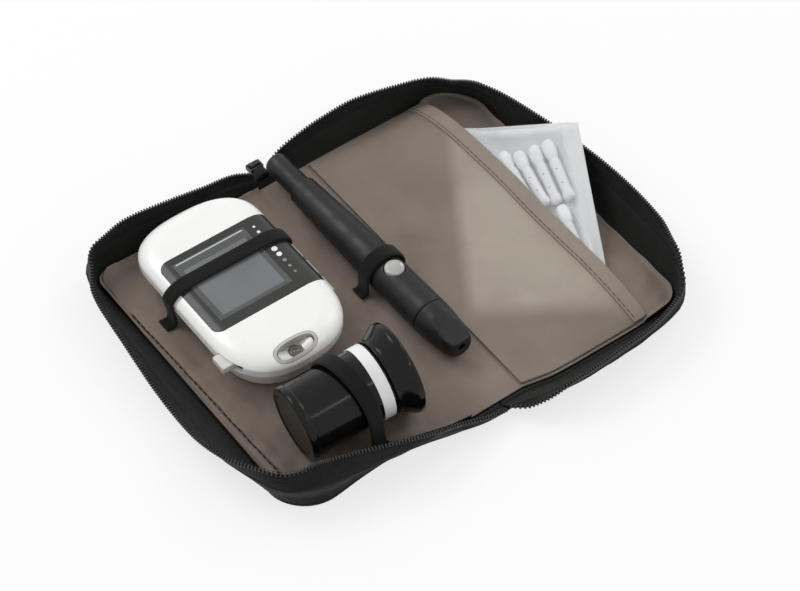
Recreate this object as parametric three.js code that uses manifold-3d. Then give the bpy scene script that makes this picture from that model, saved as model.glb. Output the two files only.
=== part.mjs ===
// A zipped soft case for a blood glucose kit, lying open like a book on a table. Its left half
// holds the meter, the lancing pen and the vial of test strips under elastic loops, and its
// right half has a pocket with a bag of spare lancets.
// Millimetres. +X runs across both halves, +Y along the fold and +Z up. The origin is on the
// table, in the middle of the fold.
import * as THREE from 'three'
import { mergeVertices } from 'three/addons/utils/BufferGeometryUtils.js'
import Module from 'manifold-3d'

const wasm = await Module()
wasm.setup()

// Clearances
const GAP = 0.3
const OVERRUN = 1

// The meter
const METER_W = 46
const METER_L = 76.6
const METER_H = 15.3
const METER_WALL = 1.5
const METER_EDGE = 7
const METER_TOP_ROUND = 16.3
const METER_BOTTOM_ROUND = 25.2
const METER_SQUARENESS = 2.55
const METER_SEAM = 10.4
// height and inset from the widest outline
const METER_BACK_SHARES = [
  [0, 0.8], [0.08, 0.5], [0.2, 0.38], [0.43, 0.26], [0.7, 0.09], [0.87, 0], [1, 0],
]
const METER_FRONT_SHARES = [[0, 0], [0.27, 0.01], [0.63, 0.22], [0.9, 0.59], [1, 1]]
const PANEL_FROM_SIDE = 3.05
const PANEL_FROM_TOP = 17.9
const PANEL_LEFT_X = PANEL_FROM_SIDE - METER_W / 2
const PANEL_TOP_Y = METER_L / 2 - PANEL_FROM_TOP
const PANEL_H = 35.6
const PANEL_CORNER_R = 3.5
const WINDOW_FROM_SIDE = 7.05
const WINDOW_TO_SIDE = 10.35
const WINDOW_W = METER_W - WINDOW_FROM_SIDE - WINDOW_TO_SIDE
const WINDOW_H = 29
const WINDOW_X = (WINDOW_FROM_SIDE - WINDOW_TO_SIDE) / 2
const WINDOW_UP = 0.7
const WINDOW_Y = PANEL_TOP_Y - PANEL_H / 2 + WINDOW_UP
const SCREEN_RIM = 1.2
const PORT_W = 16
const PORT_H = 7.2
const PORT_X = -2.2
const PORT_FROM_END = 4.5
const PORT_Y = PORT_FROM_END - METER_L / 2
const PORT_TOP = 12.2
const PORT_FLOOR_T = 1
const PORT_RIM = 0.9
const PORT_LAMP_R = 1.6
const PORT_LAMP_H = 0.9
const CIRCUIT_T = 1
const CIRCUIT_INSET = 3.6
const EJECTOR_FROM_END = 15.6
const EJECTOR_Y = EJECTOR_FROM_END - METER_L / 2
const EJECTOR_L = 6.4
const EJECTOR_H = 2.6
const EJECTOR_OUT = 2.1
const EJECTOR_IN = 4.5
const EJECTOR_TRAVEL = 3
const KEY_L = 7
const KEY_H = 2.6
const KEY_OUT = 0.35
const KEY_IN = 2.2
const KEY_TRAVEL = 0.3
const KEY_NAMES = ['forward_key', 'back_key', 'power_key']
const KEY_FROM_PANEL_TOP = 18.9
const KEY_PITCH = 8.8
const CELL_R = 10
const CELL_T = 3.2
const CELL_FROM_TOP = 32.55
const CELL_Y = METER_L / 2 - CELL_FROM_TOP
const CELL_PITCH = 20.8
const DOOR_W = 23
const DOOR_L = 43

// The lancing pen, along its own line from the cap's end to the button's end
const PEN_TURN = THREE.MathUtils.degToRad(1.32)
const PEN_L = 104
const PEN_R = 6.8
const PEN_MIDDLE_R = 6.4
const PEN_END_R = 5.3
const PEN_BORE_R = 4.5
const PEN_CAP_L = 17.2
const PEN_CAP_BEND_L = 6
const PEN_CAP_BEND_R = 5.8
const PEN_CAP_END_R = 4.4
const PEN_CAP_WALL = 1.5
const PEN_CAP_HOLE_R = 1.4
const PEN_CHAMFER = 0.6
const PEN_BUTTON_L = 16.5
const PEN_BUTTON_STEM = 12
const PEN_SEAM_Y = PEN_CAP_L - PEN_L / 2
const PEN_RELEASE_FROM_SEAM = 18.8
const PEN_RELEASE_Y = PEN_SEAM_Y + PEN_RELEASE_FROM_SEAM
const PEN_RELEASE_R = 3.5
const PEN_RELEASE_TOP = 7.1
const PEN_RELEASE_FOOT = 4.2
const PEN_COLLAR_L = 6
const HOLDER_R = 3
const HOLDER_L = 24
const HOLDER_FROM_SEAM = 1.8
const HOLDER_FRONT = PEN_SEAM_Y + HOLDER_FROM_SEAM
const SPRING_R = 2.6
const SPRING_WIRE_R = 0.45
const SPRING_TURNS = 8
const NEEDLE_R = 1.3
const NEEDLE_TIP_R = 0.4
const NEEDLE_L = 11

// The strip vial, on its side, along its own line from its base to its lid
const VIAL_TURN = THREE.MathUtils.degToRad(-94.5)
const VIAL_L = 40
const VIAL_R = 12.5
const VIAL_BASE_R = 12.9
const VIAL_BASE_H = 2.4
const VIAL_CHAMFER = 0.5
const VIAL_WALL = 1.2
const VIAL_LID_L = 8.4
const VIAL_LID_FOOT_R = 13
const VIAL_LID_FLARE_L = 2
const VIAL_LID_R = 16
const VIAL_LID_RIM = 2.4
const VIAL_PLUG_H = 2.2
const VIAL_PLUG_GAP = 0.5
const LINER_T = 1.2
const LABEL_T = 0.4
const LABEL_W = 4.2
const LABEL_FROM_LID = 1.1
const LABEL_TOP = VIAL_L - VIAL_LID_L - LABEL_FROM_LID
const STRIPS_W = 8
const STRIPS_T = 5.6
const STRIPS_ROOM = 1.3
const STRIPS_L = VIAL_L - VIAL_LID_L - VIAL_PLUG_H - STRIPS_ROOM - VIAL_WALL - GAP

// The case's floor, in both halves: the meter, the vial and the room around them size it
const SPINE_HALF_X = 10
const METER_TO_FOLD = 10.5
const METER_TO_SIDE = 10.5
const METER_TO_BACK = 2.15
const METER_TO_VIAL = 7.3
const VIAL_TO_FOLD = 13.7
const VIAL_TO_SIDE = 13.3
const VIAL_TO_FRONT = 10.95
const ACROSS_METER = METER_TO_FOLD + METER_W + METER_TO_SIDE
const ACROSS_VIAL = VIAL_TO_FOLD + VIAL_L + VIAL_TO_SIDE
const FLOOR_HALF_X = SPINE_HALF_X + Math.max(ACROSS_METER, ACROSS_VIAL)
const FLOOR_HALF_Y = (METER_TO_BACK + METER_L + METER_TO_VIAL + 2 * VIAL_R + VIAL_TO_FRONT) / 2
const COVER_T = 0.8
const BOARD_T = 0.6
const LINING_T = 0.6
const LINING_INSET = 1.2
const LEFT_BACK_CORNER_R = 5
const LEFT_FRONT_CORNER_R = 14
const RIGHT_BACK_CORNER_R = 15
const RIGHT_FRONT_CORNER_R = 8
const FLOOR_TOP = COVER_T + GAP + BOARD_T + GAP + LINING_T

// The side walls, each of a fabric band, a zip tape and a row of teeth
const WALL_T = 1.6
const WALL_REACH = 16
const WALL_HEIGHT = 18.6
const WALL_BELLY = 3.2
const WALL_SHARE = 0.6
const TAPE_T = 0.8
const TEETH_H = 1.3
const TEETH_T = 1.7
const LEFT_BACK_END_X = 9.3
const LEFT_FRONT_END_X = 0
const RIGHT_BACK_END_X = -1.6
const RIGHT_FRONT_END_X = 1
// along the edge from the fold's back end, outward lean and height of the zip
const LEFT_RIM_SHARES = [
  [0, 0.28, 0.42], [0.03, 0.31, 0.61], [0.08, 0.22, 0.79], [0.14, 0.18, 0.97], [0.2, 0.24, 1],
  [0.26, 0.08, 0.95], [0.31, 0.51, 0.89], [0.37, 0.66, 0.83], [0.52, 0.84, 0.65],
  [0.62, 0.76, 0.9], [0.69, 0.32, 1], [0.73, -0.01, 1], [0.775, -0.07, 1], [0.86, 0.24, 0.93],
  [0.94, 0.28, 0.52], [0.98, 0.36, 0.36], [1, 0.35, 0.27],
]
const RIGHT_RIM_SHARES = [
  [0, 0.39, 0.33], [0.015, 0.41, 0.51], [0.045, 0.32, 0.76], [0.085, 0.28, 0.91],
  [0.135, 0.21, 1], [0.22, -0.02, 0.88], [0.28, -0.38, 0.86], [0.36, 0.02, 0.94],
  [0.42, 0.2, 1], [0.49, 0.46, 0.96], [0.575, 0.57, 0.95], [0.65, 0.49, 0.95],
  [0.695, 0.22, 0.99], [0.72, 0.16, 0.92], [0.745, 0.48, 0.79], [0.8, 0.8, 0.81],
  [0.85, 0.87, 0.78], [0.93, 0.91, 0.74], [0.98, 0.67, 0.36], [1, 0.31, 0.27],
]

// The zip's slider, its pull and the fabric tab over it, at the fold's back end
const TAB_X = -5.6
const TAB_W = 6
const TAB_STAND = 2.8
const TAB_FRONT_Y = FLOOR_HALF_Y + TAB_STAND
const TAB_L = 3.6
const TAB_H = 5.9
const TAB_T = 0.7
const EAR_T = 0.6
const EAR_H = 2
const BAR_R = 0.6
const PULL_HUB_R = 1.5
const PULL_L = 3.9
const PULL_T = 1

// The pocket on the right half
const POCKET_TO_SPINE = 0.6
const POCKET_TO_BACK = 1.1
const POCKET_TO_FRONT = 1.1
const POCKET_TO_SIDE = 14.5
const POCKET_SEAM_X = SPINE_HALF_X + POCKET_TO_SPINE
const POCKET_BACK_Y = FLOOR_HALF_Y - POCKET_TO_BACK
const POCKET_FRONT_Y = POCKET_TO_FRONT - FLOOR_HALF_Y
const POCKET_MOUTH_X = FLOOR_HALF_X - POCKET_TO_SIDE
const POCKET_T = 0.8
const POCKET_ROOM = 8.4
const POCKET_RISE = 1.6
const POCKET_FOLD = 0.4
const HEM_W = 5.6
const HEM_T = 1.4
// across from back to front, and reach of the mouth
const MOUTH_SHARES = [[0, 0.93], [0.35, 1], [0.85, 0.99], [1, 0.96]]

// The bag of spare lancets, half in the pocket, leaning on the right half's zip. Its place is
// measured up the bag from the line where it rises, and along the fold.
const BAG_RISE_X = POCKET_MOUTH_X
const BAG_CORNER_UP = 31.2
const BAG_CORNER_Y = 6
const BAG_TILT = THREE.MathUtils.degToRad(40)
const BAG_BEND_R = 20
const BAG_SIDE_A = 50
const BAG_SIDE_B = 62
const BAG_TAPER = 0.12
const BAG_TURN_A = THREE.MathUtils.degToRad(130.6)
const BAG_TURN_B = THREE.MathUtils.degToRad(236.5)
const BAG_FULL = 4.6
const BAG_EDGE = 3.5
const BAG_THIN_FROM = 20
const BAG_THIN_TO = 8
const FILM_T = 0.4
const LANCET_L = 24
const LANCET_BODY_R = 1.6
const LANCET_CAP_R = 1.9
const LANCET_CAP_L = 8
const LANCET_NECK_R = 0.9
const LANCET_NECK_L = 1.4
// up the bag and along the fold as shares of the corner's rise, and turn as a share of a half turn
const LANCET_SHARES = [
  [0.48, -0.045, -0.617], [0.337, 0.04, -0.611], [0.19, 0.135, -0.594],
  [0.062, 0.28, -0.585], [-0.09, 0.4, -0.58], [0.03, -0.725, -0.642],
]

// Where the meter, the pen and the vial lie
const METER_X = METER_TO_SIDE + METER_W / 2 - FLOOR_HALF_X
const METER_Y = FLOOR_HALF_Y - METER_TO_BACK - METER_L / 2
const PEN_X = -0.2
const PEN_PAST_FLOOR = 2.3
const PEN_Y = FLOOR_HALF_Y + PEN_PAST_FLOOR - PEN_L / 2
const VIAL_X = VIAL_TO_SIDE - FLOOR_HALF_X
const VIAL_Y = METER_Y - METER_L / 2 - METER_TO_VIAL - VIAL_R

// The elastic loops
const LOOP_W = 5.5
const LOOP_T = 1
const LOOP_SLACK = 0.4
const LOOP_FOOT = 3.5
const LOOP_NIP = 1.8
const METER_LOOP_FROM_PANEL = 12
const METER_LOOP_Y = PANEL_TOP_Y - METER_LOOP_FROM_PANEL
const PEN_LOOP_FROM_RELEASE = 6.9
const PEN_LOOP_Y = PEN_RELEASE_Y + PEN_LOOP_FROM_RELEASE
const VIAL_LOOP_FROM_LABEL = 6.6
const VIAL_LOOP_Y = LABEL_TOP - LABEL_W - VIAL_LOOP_FROM_LABEL
const VIAL_LOOP_SLANT = THREE.MathUtils.degToRad(10)
const VIAL_LOOP_SLACK = 1.2

// Facets
const EDGE_STEP = 10
const CORNER_STEPS = 4
const WALL_STEPS = 3
const ROUND_SIDES = 16
const VIAL_SIDES = 24
const SMALL_SIDES = 10
const METER_QUARTER = 7
const CLOTH_STEPS = 9
const FILM_STEPS = 14

// Materials
function material(color, roughness, metalness = 0) {
  return new THREE.MeshStandardMaterial({ color, roughness, metalness })
}
const BLACK_CLOTH = material(0x1c1c1b, 0.9)
const BLACK_TAPE = material(0x181818, 0.85)
const TEETH = material(0x121212, 0.4)
const TAUPE_CLOTH = material(0x766a5e, 0.8)
const POCKET_CLOTH = material(0x857a6e, 0.75)
const BOARD_GREY = material(0x4c4c4c, 0.9)
const ELASTIC = material(0x1b1b19, 0.95)
const DARK_METAL = material(0x2a2a2c, 0.35, 0.9)
const GLOSS_WHITE = material(0xf2f2f1, 0.25)
const PANEL_BLACK = material(0x383837, 0.15)
const SCREEN_GREY = material(0x707476, 0.3)
const PORT_GREY = material(0xb9b7b2, 0.35)
const CIRCUIT_GREEN = material(0x1f5a34, 0.6)
const STEEL = material(0xb8babc, 0.3, 1)
const PEN_GREY = material(0x2c2d2d, 0.45)
const CLEAR_GREY = material(0xc9cbcb, 0.15)
const GLOSS_BLACK = material(0x1a1a1b, 0.2)
const LABEL_WHITE = material(0xececec, 0.4)
const LINER_WHITE = material(0xd8d8d4, 0.7)
const FILM_CLEAR = material(0xdadce0, 0.3)
const LANCET_WHITE = material(0xf6f7f8, 0.4)

// Geometry with each corner held once and no face without an area
function weld(geometry) {
  const bare = new THREE.BufferGeometry()
  bare.setAttribute('position', geometry.getAttribute('position').clone())
  if (geometry.index) bare.setIndex(geometry.index.clone())
  const merged = mergeVertices(bare)
  const kept = []
  for (let i = 0; i < merged.index.count; i += 3) {
    const [a, b, c] = [0, 1, 2].map((k) => merged.index.getX(i + k))
    if (a !== b && b !== c && c !== a) kept.push(a, b, c)
  }
  merged.setIndex(kept)
  return merged
}

// A closed solid from points and faces, turned so that its faces point out
function closedSolid(points, faces) {
  let volume = 0
  for (const [a, b, c] of faces) {
    volume += points[a].dot(new THREE.Vector3().crossVectors(points[b], points[c]))
  }
  const outward = volume > 0 ? faces : faces.map(([a, b, c]) => [a, c, b])
  const geometry = new THREE.BufferGeometry().setFromPoints(points)
  geometry.setIndex(outward.flat())
  return weld(geometry)
}

// A skin over rings of equal count, closed at both ends by the same faces
function skin(rings, endFaces) {
  const count = rings[0].length
  const points = rings.flat()
  const faces = []
  for (let r = 0; r + 1 < rings.length; r += 1) {
    for (let i = 0; i < count; i += 1) {
      const j = (i + 1) % count
      const [a, b] = [r * count + i, r * count + j]
      faces.push([a, b, b + count], [a, b + count, a + count])
    }
  }
  const last = (rings.length - 1) * count
  for (const [a, b, c] of endFaces) {
    faces.push([a, c, b], [last + a, last + b, last + c])
  }
  return closedSolid(points, faces)
}

// A thin slab over a grid: place(s, t, level) gives its lower and upper side
function slab(across, along, place) {
  const points = []
  for (const level of [0, 1]) {
    for (let i = 0; i <= across; i += 1) {
      for (let j = 0; j <= along; j += 1) {
        points.push(place(i / across, j / along, level))
      }
    }
  }
  const row = along + 1
  const upper = (across + 1) * row
  const faces = []
  for (let i = 0; i < across; i += 1) {
    for (let j = 0; j < along; j += 1) {
      const a = i * row + j
      const b = upper + a
      faces.push([a, a + row, a + row + 1], [a, a + row + 1, a + 1])
      faces.push([b, b + row + 1, b + row], [b, b + 1, b + row + 1])
    }
  }
  const side = (a, b) => faces.push([a, b, b + upper], [a, b + upper, a + upper])
  for (let j = 0; j < along; j += 1) {
    side(j, j + 1)
    side(across * row + j + 1, across * row + j)
  }
  for (let i = 0; i < across; i += 1) {
    side((i + 1) * row, i * row)
    side(i * row + along, (i + 1) * row + along)
  }
  return closedSolid(points, faces)
}

function prism(outline, low, high) {
  const shape = new THREE.Shape(outline)
  const geometry = new THREE.ExtrudeGeometry(shape, { depth: high - low, bevelEnabled: false })
  geometry.translate(0, 0, low)
  return weld(geometry)
}

// A turned solid about Y, from a profile of radius and place that ends on the axis or closes
function turned(profile, sides = ROUND_SIDES) {
  const points = profile.map(([radius, at]) => new THREE.Vector2(radius, at))
  if (THREE.ShapeUtils.area(points) < 0) points.reverse()
  return weld(new THREE.LatheGeometry(points, sides))
}

function tube(outerR, innerR, low, high, sides = ROUND_SIDES) {
  return turned([[innerR, low], [outerR, low], [outerR, high], [innerR, high], [innerR, low]], sides)
}

function rod(radius, low, high, sides = ROUND_SIDES) {
  return turned([[0, low], [radius, low], [radius, high], [0, high]], sides)
}

function box(low, high) {
  const size = new THREE.Vector3().subVectors(high, low)
  const geometry = new THREE.BoxGeometry(size.x, size.y, size.z)
  const middle = new THREE.Vector3().addVectors(low, high).multiplyScalar(1 / 2)
  geometry.translate(middle.x, middle.y, middle.z)
  return weld(geometry)
}

function point(x, y, z) {
  return new THREE.Vector3(x, y, z)
}

function toSolid(geometry) {
  const welded = weld(geometry)
  return new wasm.Manifold(new wasm.Mesh({
    numProp: 3,
    vertProperties: new Float32Array(welded.getAttribute('position').array),
    triVerts: new Uint32Array(welded.index.array),
  }))
}

function fromSolid(solid) {
  const mesh = solid.getMesh()
  const geometry = new THREE.BufferGeometry()
  geometry.setAttribute('position', new THREE.BufferAttribute(mesh.vertProperties, 3))
  geometry.setIndex(new THREE.BufferAttribute(mesh.triVerts, 1))
  return geometry
}

function cut(geometry, ...tools) {
  return fromSolid(tools.reduce((solid, tool) => solid.subtract(toSolid(tool)), toSolid(geometry)))
}

function join(geometry, ...others) {
  return fromSolid(others.reduce((solid, other) => solid.add(toSolid(other)), toSolid(geometry)))
}

function common(geometry, other) {
  return fromSolid(toSolid(geometry).intersect(toSolid(other)))
}

function piece(parent, name, geometry, finish) {
  const mesh = new THREE.Mesh(geometry, finish)
  mesh.name = name
  parent.add(mesh)
  return mesh
}

// A smooth value between the rows of a table, whose first column is the place
function between(rows, place, column) {
  let i = 0
  while (i < rows.length - 2 && rows[i + 1][0] < place) i += 1
  const slope = (k) => {
    const low = rows[Math.max(k - 1, 0)]
    const high = rows[Math.min(k + 1, rows.length - 1)]
    return (high[column] - low[column]) / (high[0] - low[0])
  }
  const span = rows[i + 1][0] - rows[i][0]
  const t = THREE.MathUtils.clamp((place - rows[i][0]) / span, 0, 1)
  const [t2, t3] = [t * t, t * t * t]
  return (2 * t3 - 3 * t2 + 1) * rows[i][column] + (t3 - 2 * t2 + t) * span * slope(i)
    + (3 * t2 - 2 * t3) * rows[i + 1][column] + (t3 - t2) * span * slope(i + 1)
}

// The halves of the case
const LEFT = {
  name: 'left', side: -1, backEnd: LEFT_BACK_END_X, frontEnd: LEFT_FRONT_END_X,
  backR: LEFT_BACK_CORNER_R, frontR: LEFT_FRONT_CORNER_R, rim: LEFT_RIM_SHARES,
}
const RIGHT = {
  name: 'right', side: 1, backEnd: RIGHT_BACK_END_X, frontEnd: RIGHT_FRONT_END_X,
  backR: RIGHT_BACK_CORNER_R, frontR: RIGHT_FRONT_CORNER_R, rim: RIGHT_RIM_SHARES,
}

// Places along a half's floor edge from the fold's back end round to its front end
function edgeStations(half) {
  const stations = []
  const run = (from, to, out) => {
    const steps = Math.max(Math.round(from.distanceTo(to) / EDGE_STEP), 1)
    for (let i = 0; i < steps; i += 1) {
      stations.push({ base: from.clone().lerp(to, i / steps), out })
    }
  }
  const corner = (centre, radius, startTurn) => {
    for (let i = 0; i < CORNER_STEPS; i += 1) {
      const turn = startTurn - (Math.PI / 2) * (i / CORNER_STEPS)
      const out = new THREE.Vector2(Math.cos(turn), Math.sin(turn))
      stations.push({ base: centre.clone().addScaledVector(out, radius), out })
    }
  }
  const v = (x, y) => new THREE.Vector2(x, y)
  const backX = FLOOR_HALF_X - half.backR
  const frontX = FLOOR_HALF_X - half.frontR
  const backY = FLOOR_HALF_Y - half.backR
  const frontY = half.frontR - FLOOR_HALF_Y
  run(v(half.backEnd, FLOOR_HALF_Y), v(backX, FLOOR_HALF_Y), v(0, 1))
  corner(v(backX, backY), half.backR, Math.PI / 2)
  run(v(FLOOR_HALF_X, backY), v(FLOOR_HALF_X, frontY), v(1, 0))
  corner(v(frontX, frontY), half.frontR, 0)
  run(v(frontX, -FLOOR_HALF_Y), v(half.frontEnd, -FLOOR_HALF_Y), v(0, -1))
  stations.push({ base: v(half.frontEnd, -FLOOR_HALF_Y), out: v(0, -1) })
  let length = 0
  stations.forEach((station, i) => {
    if (i > 0) length += station.base.distanceTo(stations[i - 1].base)
    station.along = length
  })
  for (const station of stations) {
    const share = station.along / length
    station.reach = WALL_REACH * between(half.rim, share, 1)
    station.height = WALL_HEIGHT * between(half.rim, share, 2)
  }
  return stations
}

// The middle line of a wall in one station: out from the floor edge, and up
function wallLine(station) {
  const foot = new THREE.Vector2(GAP + WALL_T / 2, WALL_T / 2)
  const top = new THREE.Vector2(station.reach, station.height)
  const rise = top.clone().sub(foot)
  const belly = WALL_BELLY * station.height / WALL_HEIGHT
  const out = new THREE.Vector2(rise.y, -rise.x).normalize().multiplyScalar(belly)
  const middle = foot.clone().lerp(top, 1 / 2).add(out)
  return new THREE.QuadraticBezierCurve(foot, middle, top)
}

// The closed section of a band of the wall between two places on its middle line
function bandRing(half, station, from, to, thickness) {
  const line = wallLine(station)
  const sides = [[], []]
  for (let i = 0; i <= WALL_STEPS; i += 1) {
    const t = from + (to - from) * i / WALL_STEPS
    const middle = line.getPoint(t)
    const along = line.getTangent(t)
    for (const [k, sign] of [[0, 1], [1, -1]]) {
      const u = middle.x + sign * along.y * thickness / 2
      const z = middle.y - sign * along.x * thickness / 2
      const x = station.base.x + station.out.x * u
      const y = station.base.y + station.out.y * u
      sides[k].push(point(half.side * x, y, z))
    }
  }
  return [...sides[0], ...sides[1].reverse()]
}

function wallBand(half, stations, range, thickness) {
  const count = 2 * (WALL_STEPS + 1)
  const endFaces = []
  for (let i = 0; i < WALL_STEPS; i += 1) {
    const [a, b] = [count - 1 - i, count - 2 - i]
    endFaces.push([i, i + 1, b], [i, b, a])
  }
  const rings = stations.map((station) => {
    const length = wallLine(station).getLength()
    const [from, to] = range(length)
    return bandRing(half, station, from / length, to / length, thickness)
  })
  return skin(rings, endFaces)
}

// The outline of a floor sheet, drawn in from the floor edge and squared at the fold
function floorOutline(half, stations, inset) {
  const start = SPINE_HALF_X + GAP / 2
  const edge = stations
    .filter((station) => station.base.x > start)
    .map((station) => station.base.clone().addScaledVector(station.out, -inset))
  const outline = [
    new THREE.Vector2(start, FLOOR_HALF_Y - inset),
    ...edge,
    new THREE.Vector2(start, inset - FLOOR_HALF_Y),
  ]
  return outline.map((p) => new THREE.Vector2(half.side * p.x, p.y))
}

function buildHalf(parent, half) {
  const stations = edgeStations(half)
  const boardLow = COVER_T + GAP
  const liningLow = boardLow + BOARD_T + GAP
  piece(parent, `${half.name}_cover_panel`, prism(floorOutline(half, stations, 0), 0, COVER_T), BLACK_CLOTH)
  const board = prism(floorOutline(half, stations, LINING_INSET), boardLow, boardLow + BOARD_T)
  piece(parent, `${half.name}_stiffener_board`, board, BOARD_GREY)
  const lining = prism(floorOutline(half, stations, LINING_INSET), liningLow, FLOOR_TOP)
  piece(parent, `${half.name}_lining`, lining, TAUPE_CLOTH)
  const bandEnd = (length) => WALL_SHARE * length
  const teethStart = (length) => length - TEETH_H
  const wall = wallBand(half, stations, (length) => [0, bandEnd(length)], WALL_T)
  piece(parent, `${half.name}_side_wall`, wall, BLACK_CLOTH)
  const tape = wallBand(half, stations, (length) => [bandEnd(length) + GAP, teethStart(length) - GAP], TAPE_T)
  piece(parent, `${half.name}_zip_tape`, tape, BLACK_TAPE)
  const teeth = wallBand(half, stations, (length) => [teethStart(length), length], TEETH_T)
  piece(parent, `${half.name}_zip_teeth`, teeth, TEETH)
}

// The soft strips across the fold: outside and lining
function buildSpine(parent) {
  const halfX = SPINE_HALF_X - GAP / 2
  const strip = (halfY, low, high) => box(point(-halfX, -halfY, low), point(halfX, halfY, high))
  piece(parent, 'spine_strip', strip(FLOOR_HALF_Y, 0, COVER_T), BLACK_CLOTH)
  const liningHalfY = FLOOR_HALF_Y - LINING_INSET
  piece(parent, 'spine_lining', strip(liningHalfY, FLOOR_TOP - LINING_T, FLOOR_TOP), TAUPE_CLOTH)
}

// The fabric tab is an arch over the slider, and the pull hangs on the slider's bar behind it
function buildZipEnd(parent) {
  const arch = (inset, low, length) => {
    const side = TAB_W / 2 - inset
    const shape = new THREE.Shape()
    shape.moveTo(-side, low)
    shape.lineTo(side, low)
    shape.lineTo(side, TAB_H - TAB_W / 2)
    shape.absarc(0, TAB_H - TAB_W / 2, side, 0, Math.PI, false)
    const options = { depth: length, bevelEnabled: false, curveSegments: CORNER_STEPS }
    const geometry = new THREE.ExtrudeGeometry(shape, options)
    geometry.rotateX(Math.PI / 2)
    return geometry.translate(TAB_X, TAB_FRONT_Y + length, 0)
  }
  const hollow = arch(TAB_T, -OVERRUN, TAB_L + 2 * OVERRUN)
  hollow.translate(0, -OVERRUN, 0)
  piece(parent, 'back_end_tab', cut(arch(0, GAP, TAB_L), hollow), BLACK_CLOTH)

  const backY = TAB_FRONT_Y + TAB_L + GAP
  const pinY = backY + EAR_T + GAP + PULL_HUB_R
  const pinZ = TAB_H - PULL_HUB_R
  const earX = TAB_W / 2 - GAP
  const block = (fromX, toX, fromY, toY, lowZ, highZ) => box(
    point(TAB_X + Math.min(fromX, toX), fromY, lowZ),
    point(TAB_X + Math.max(fromX, toX), toY, highZ),
  )
  const ear = (side) => block(
    side * earX, side * (earX - EAR_T), backY, pinY + EAR_H / 2, pinZ - EAR_H / 2, pinZ + EAR_H / 2,
  )
  const across = (radius, halfLength) => {
    const geometry = rod(radius, -halfLength, halfLength, SMALL_SIDES)
    geometry.rotateZ(Math.PI / 2)
    return geometry.translate(TAB_X, pinY, pinZ)
  }
  const body = arch(TAB_T + GAP, TAB_T, TAB_L + GAP + EAR_T / 2)
  const back = block(-earX, earX, backY, backY + EAR_T, TAB_T, pinZ + EAR_H / 2)
  const bar = across(BAR_R, earX - EAR_T / 2)
  piece(parent, 'zip_slider', join(body, back, ear(-1), ear(1), bar), DARK_METAL)

  const pullHalf = earX - EAR_T - GAP
  const plate = block(
    -pullHalf, pullHalf, pinY - PULL_T / 2, pinY + PULL_T / 2, pinZ - PULL_L, pinZ,
  )
  const pull = cut(join(across(PULL_HUB_R, pullHalf), plate), across(BAR_R + GAP, TAB_W))
  piece(parent, 'zip_pull', pull, DARK_METAL)
}

function mouthX(across) {
  return POCKET_MOUTH_X * between(MOUTH_SHARES, across, 1)
}

// The height of the pocket's underside: sewn down on three sides, raised at its mouth
function pocketHeight(x, across) {
  const reach = (x - POCKET_SEAM_X) / (POCKET_MOUTH_X - POCKET_SEAM_X)
  const held = 1 - (2 * across - 1) ** 6
  const crease = Math.sin(2 * Math.PI * (reach + across)) * reach * (1 - reach) * held
  const lift = POCKET_ROOM * Math.max(reach, 0) ** POCKET_RISE * held
  return FLOOR_TOP + GAP + lift + POCKET_FOLD * 4 * Math.max(crease, 0)
}

function pocketPoint(x, across, up) {
  const y = THREE.MathUtils.lerp(POCKET_BACK_Y, POCKET_FRONT_Y, across)
  return point(x, y, pocketHeight(x, across) + up)
}

function buildPocket(parent) {
  const panel = slab(CLOTH_STEPS, CLOTH_STEPS, (s, t, level) => {
    const x = THREE.MathUtils.lerp(POCKET_SEAM_X, mouthX(t) - HEM_W - GAP, s)
    return pocketPoint(x, t, level * POCKET_T)
  })
  piece(parent, 'pocket_panel', panel, POCKET_CLOTH)
  const hem = slab(1, CLOTH_STEPS, (s, t, level) => {
    const x = mouthX(t) - HEM_W * (1 - s)
    return pocketPoint(x, t, level * HEM_T)
  })
  piece(parent, 'pocket_hem', hem, POCKET_CLOTH)
}

// A point of the bag: up from its rise line, along the fold, and off its back film
function bagPoint(up, y, off) {
  const low = FLOOR_TOP + GAP
  const reach = BAG_BEND_R * Math.tan(BAG_TILT / 2)
  const turn = BAG_TILT * THREE.MathUtils.clamp((up + reach) / (2 * reach), 0, 1)
  let x = BAG_RISE_X - reach + BAG_BEND_R * Math.sin(turn)
  let z = low + BAG_BEND_R * (1 - Math.cos(turn))
  const past = up - THREE.MathUtils.clamp(up, -reach, reach)
  x += past * Math.cos(turn)
  z += past * Math.sin(turn)
  return point(x - off * Math.sin(turn), y, z + off * Math.cos(turn))
}

function smooth(value) {
  return THREE.MathUtils.smoothstep(value, 0, 1)
}

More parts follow.
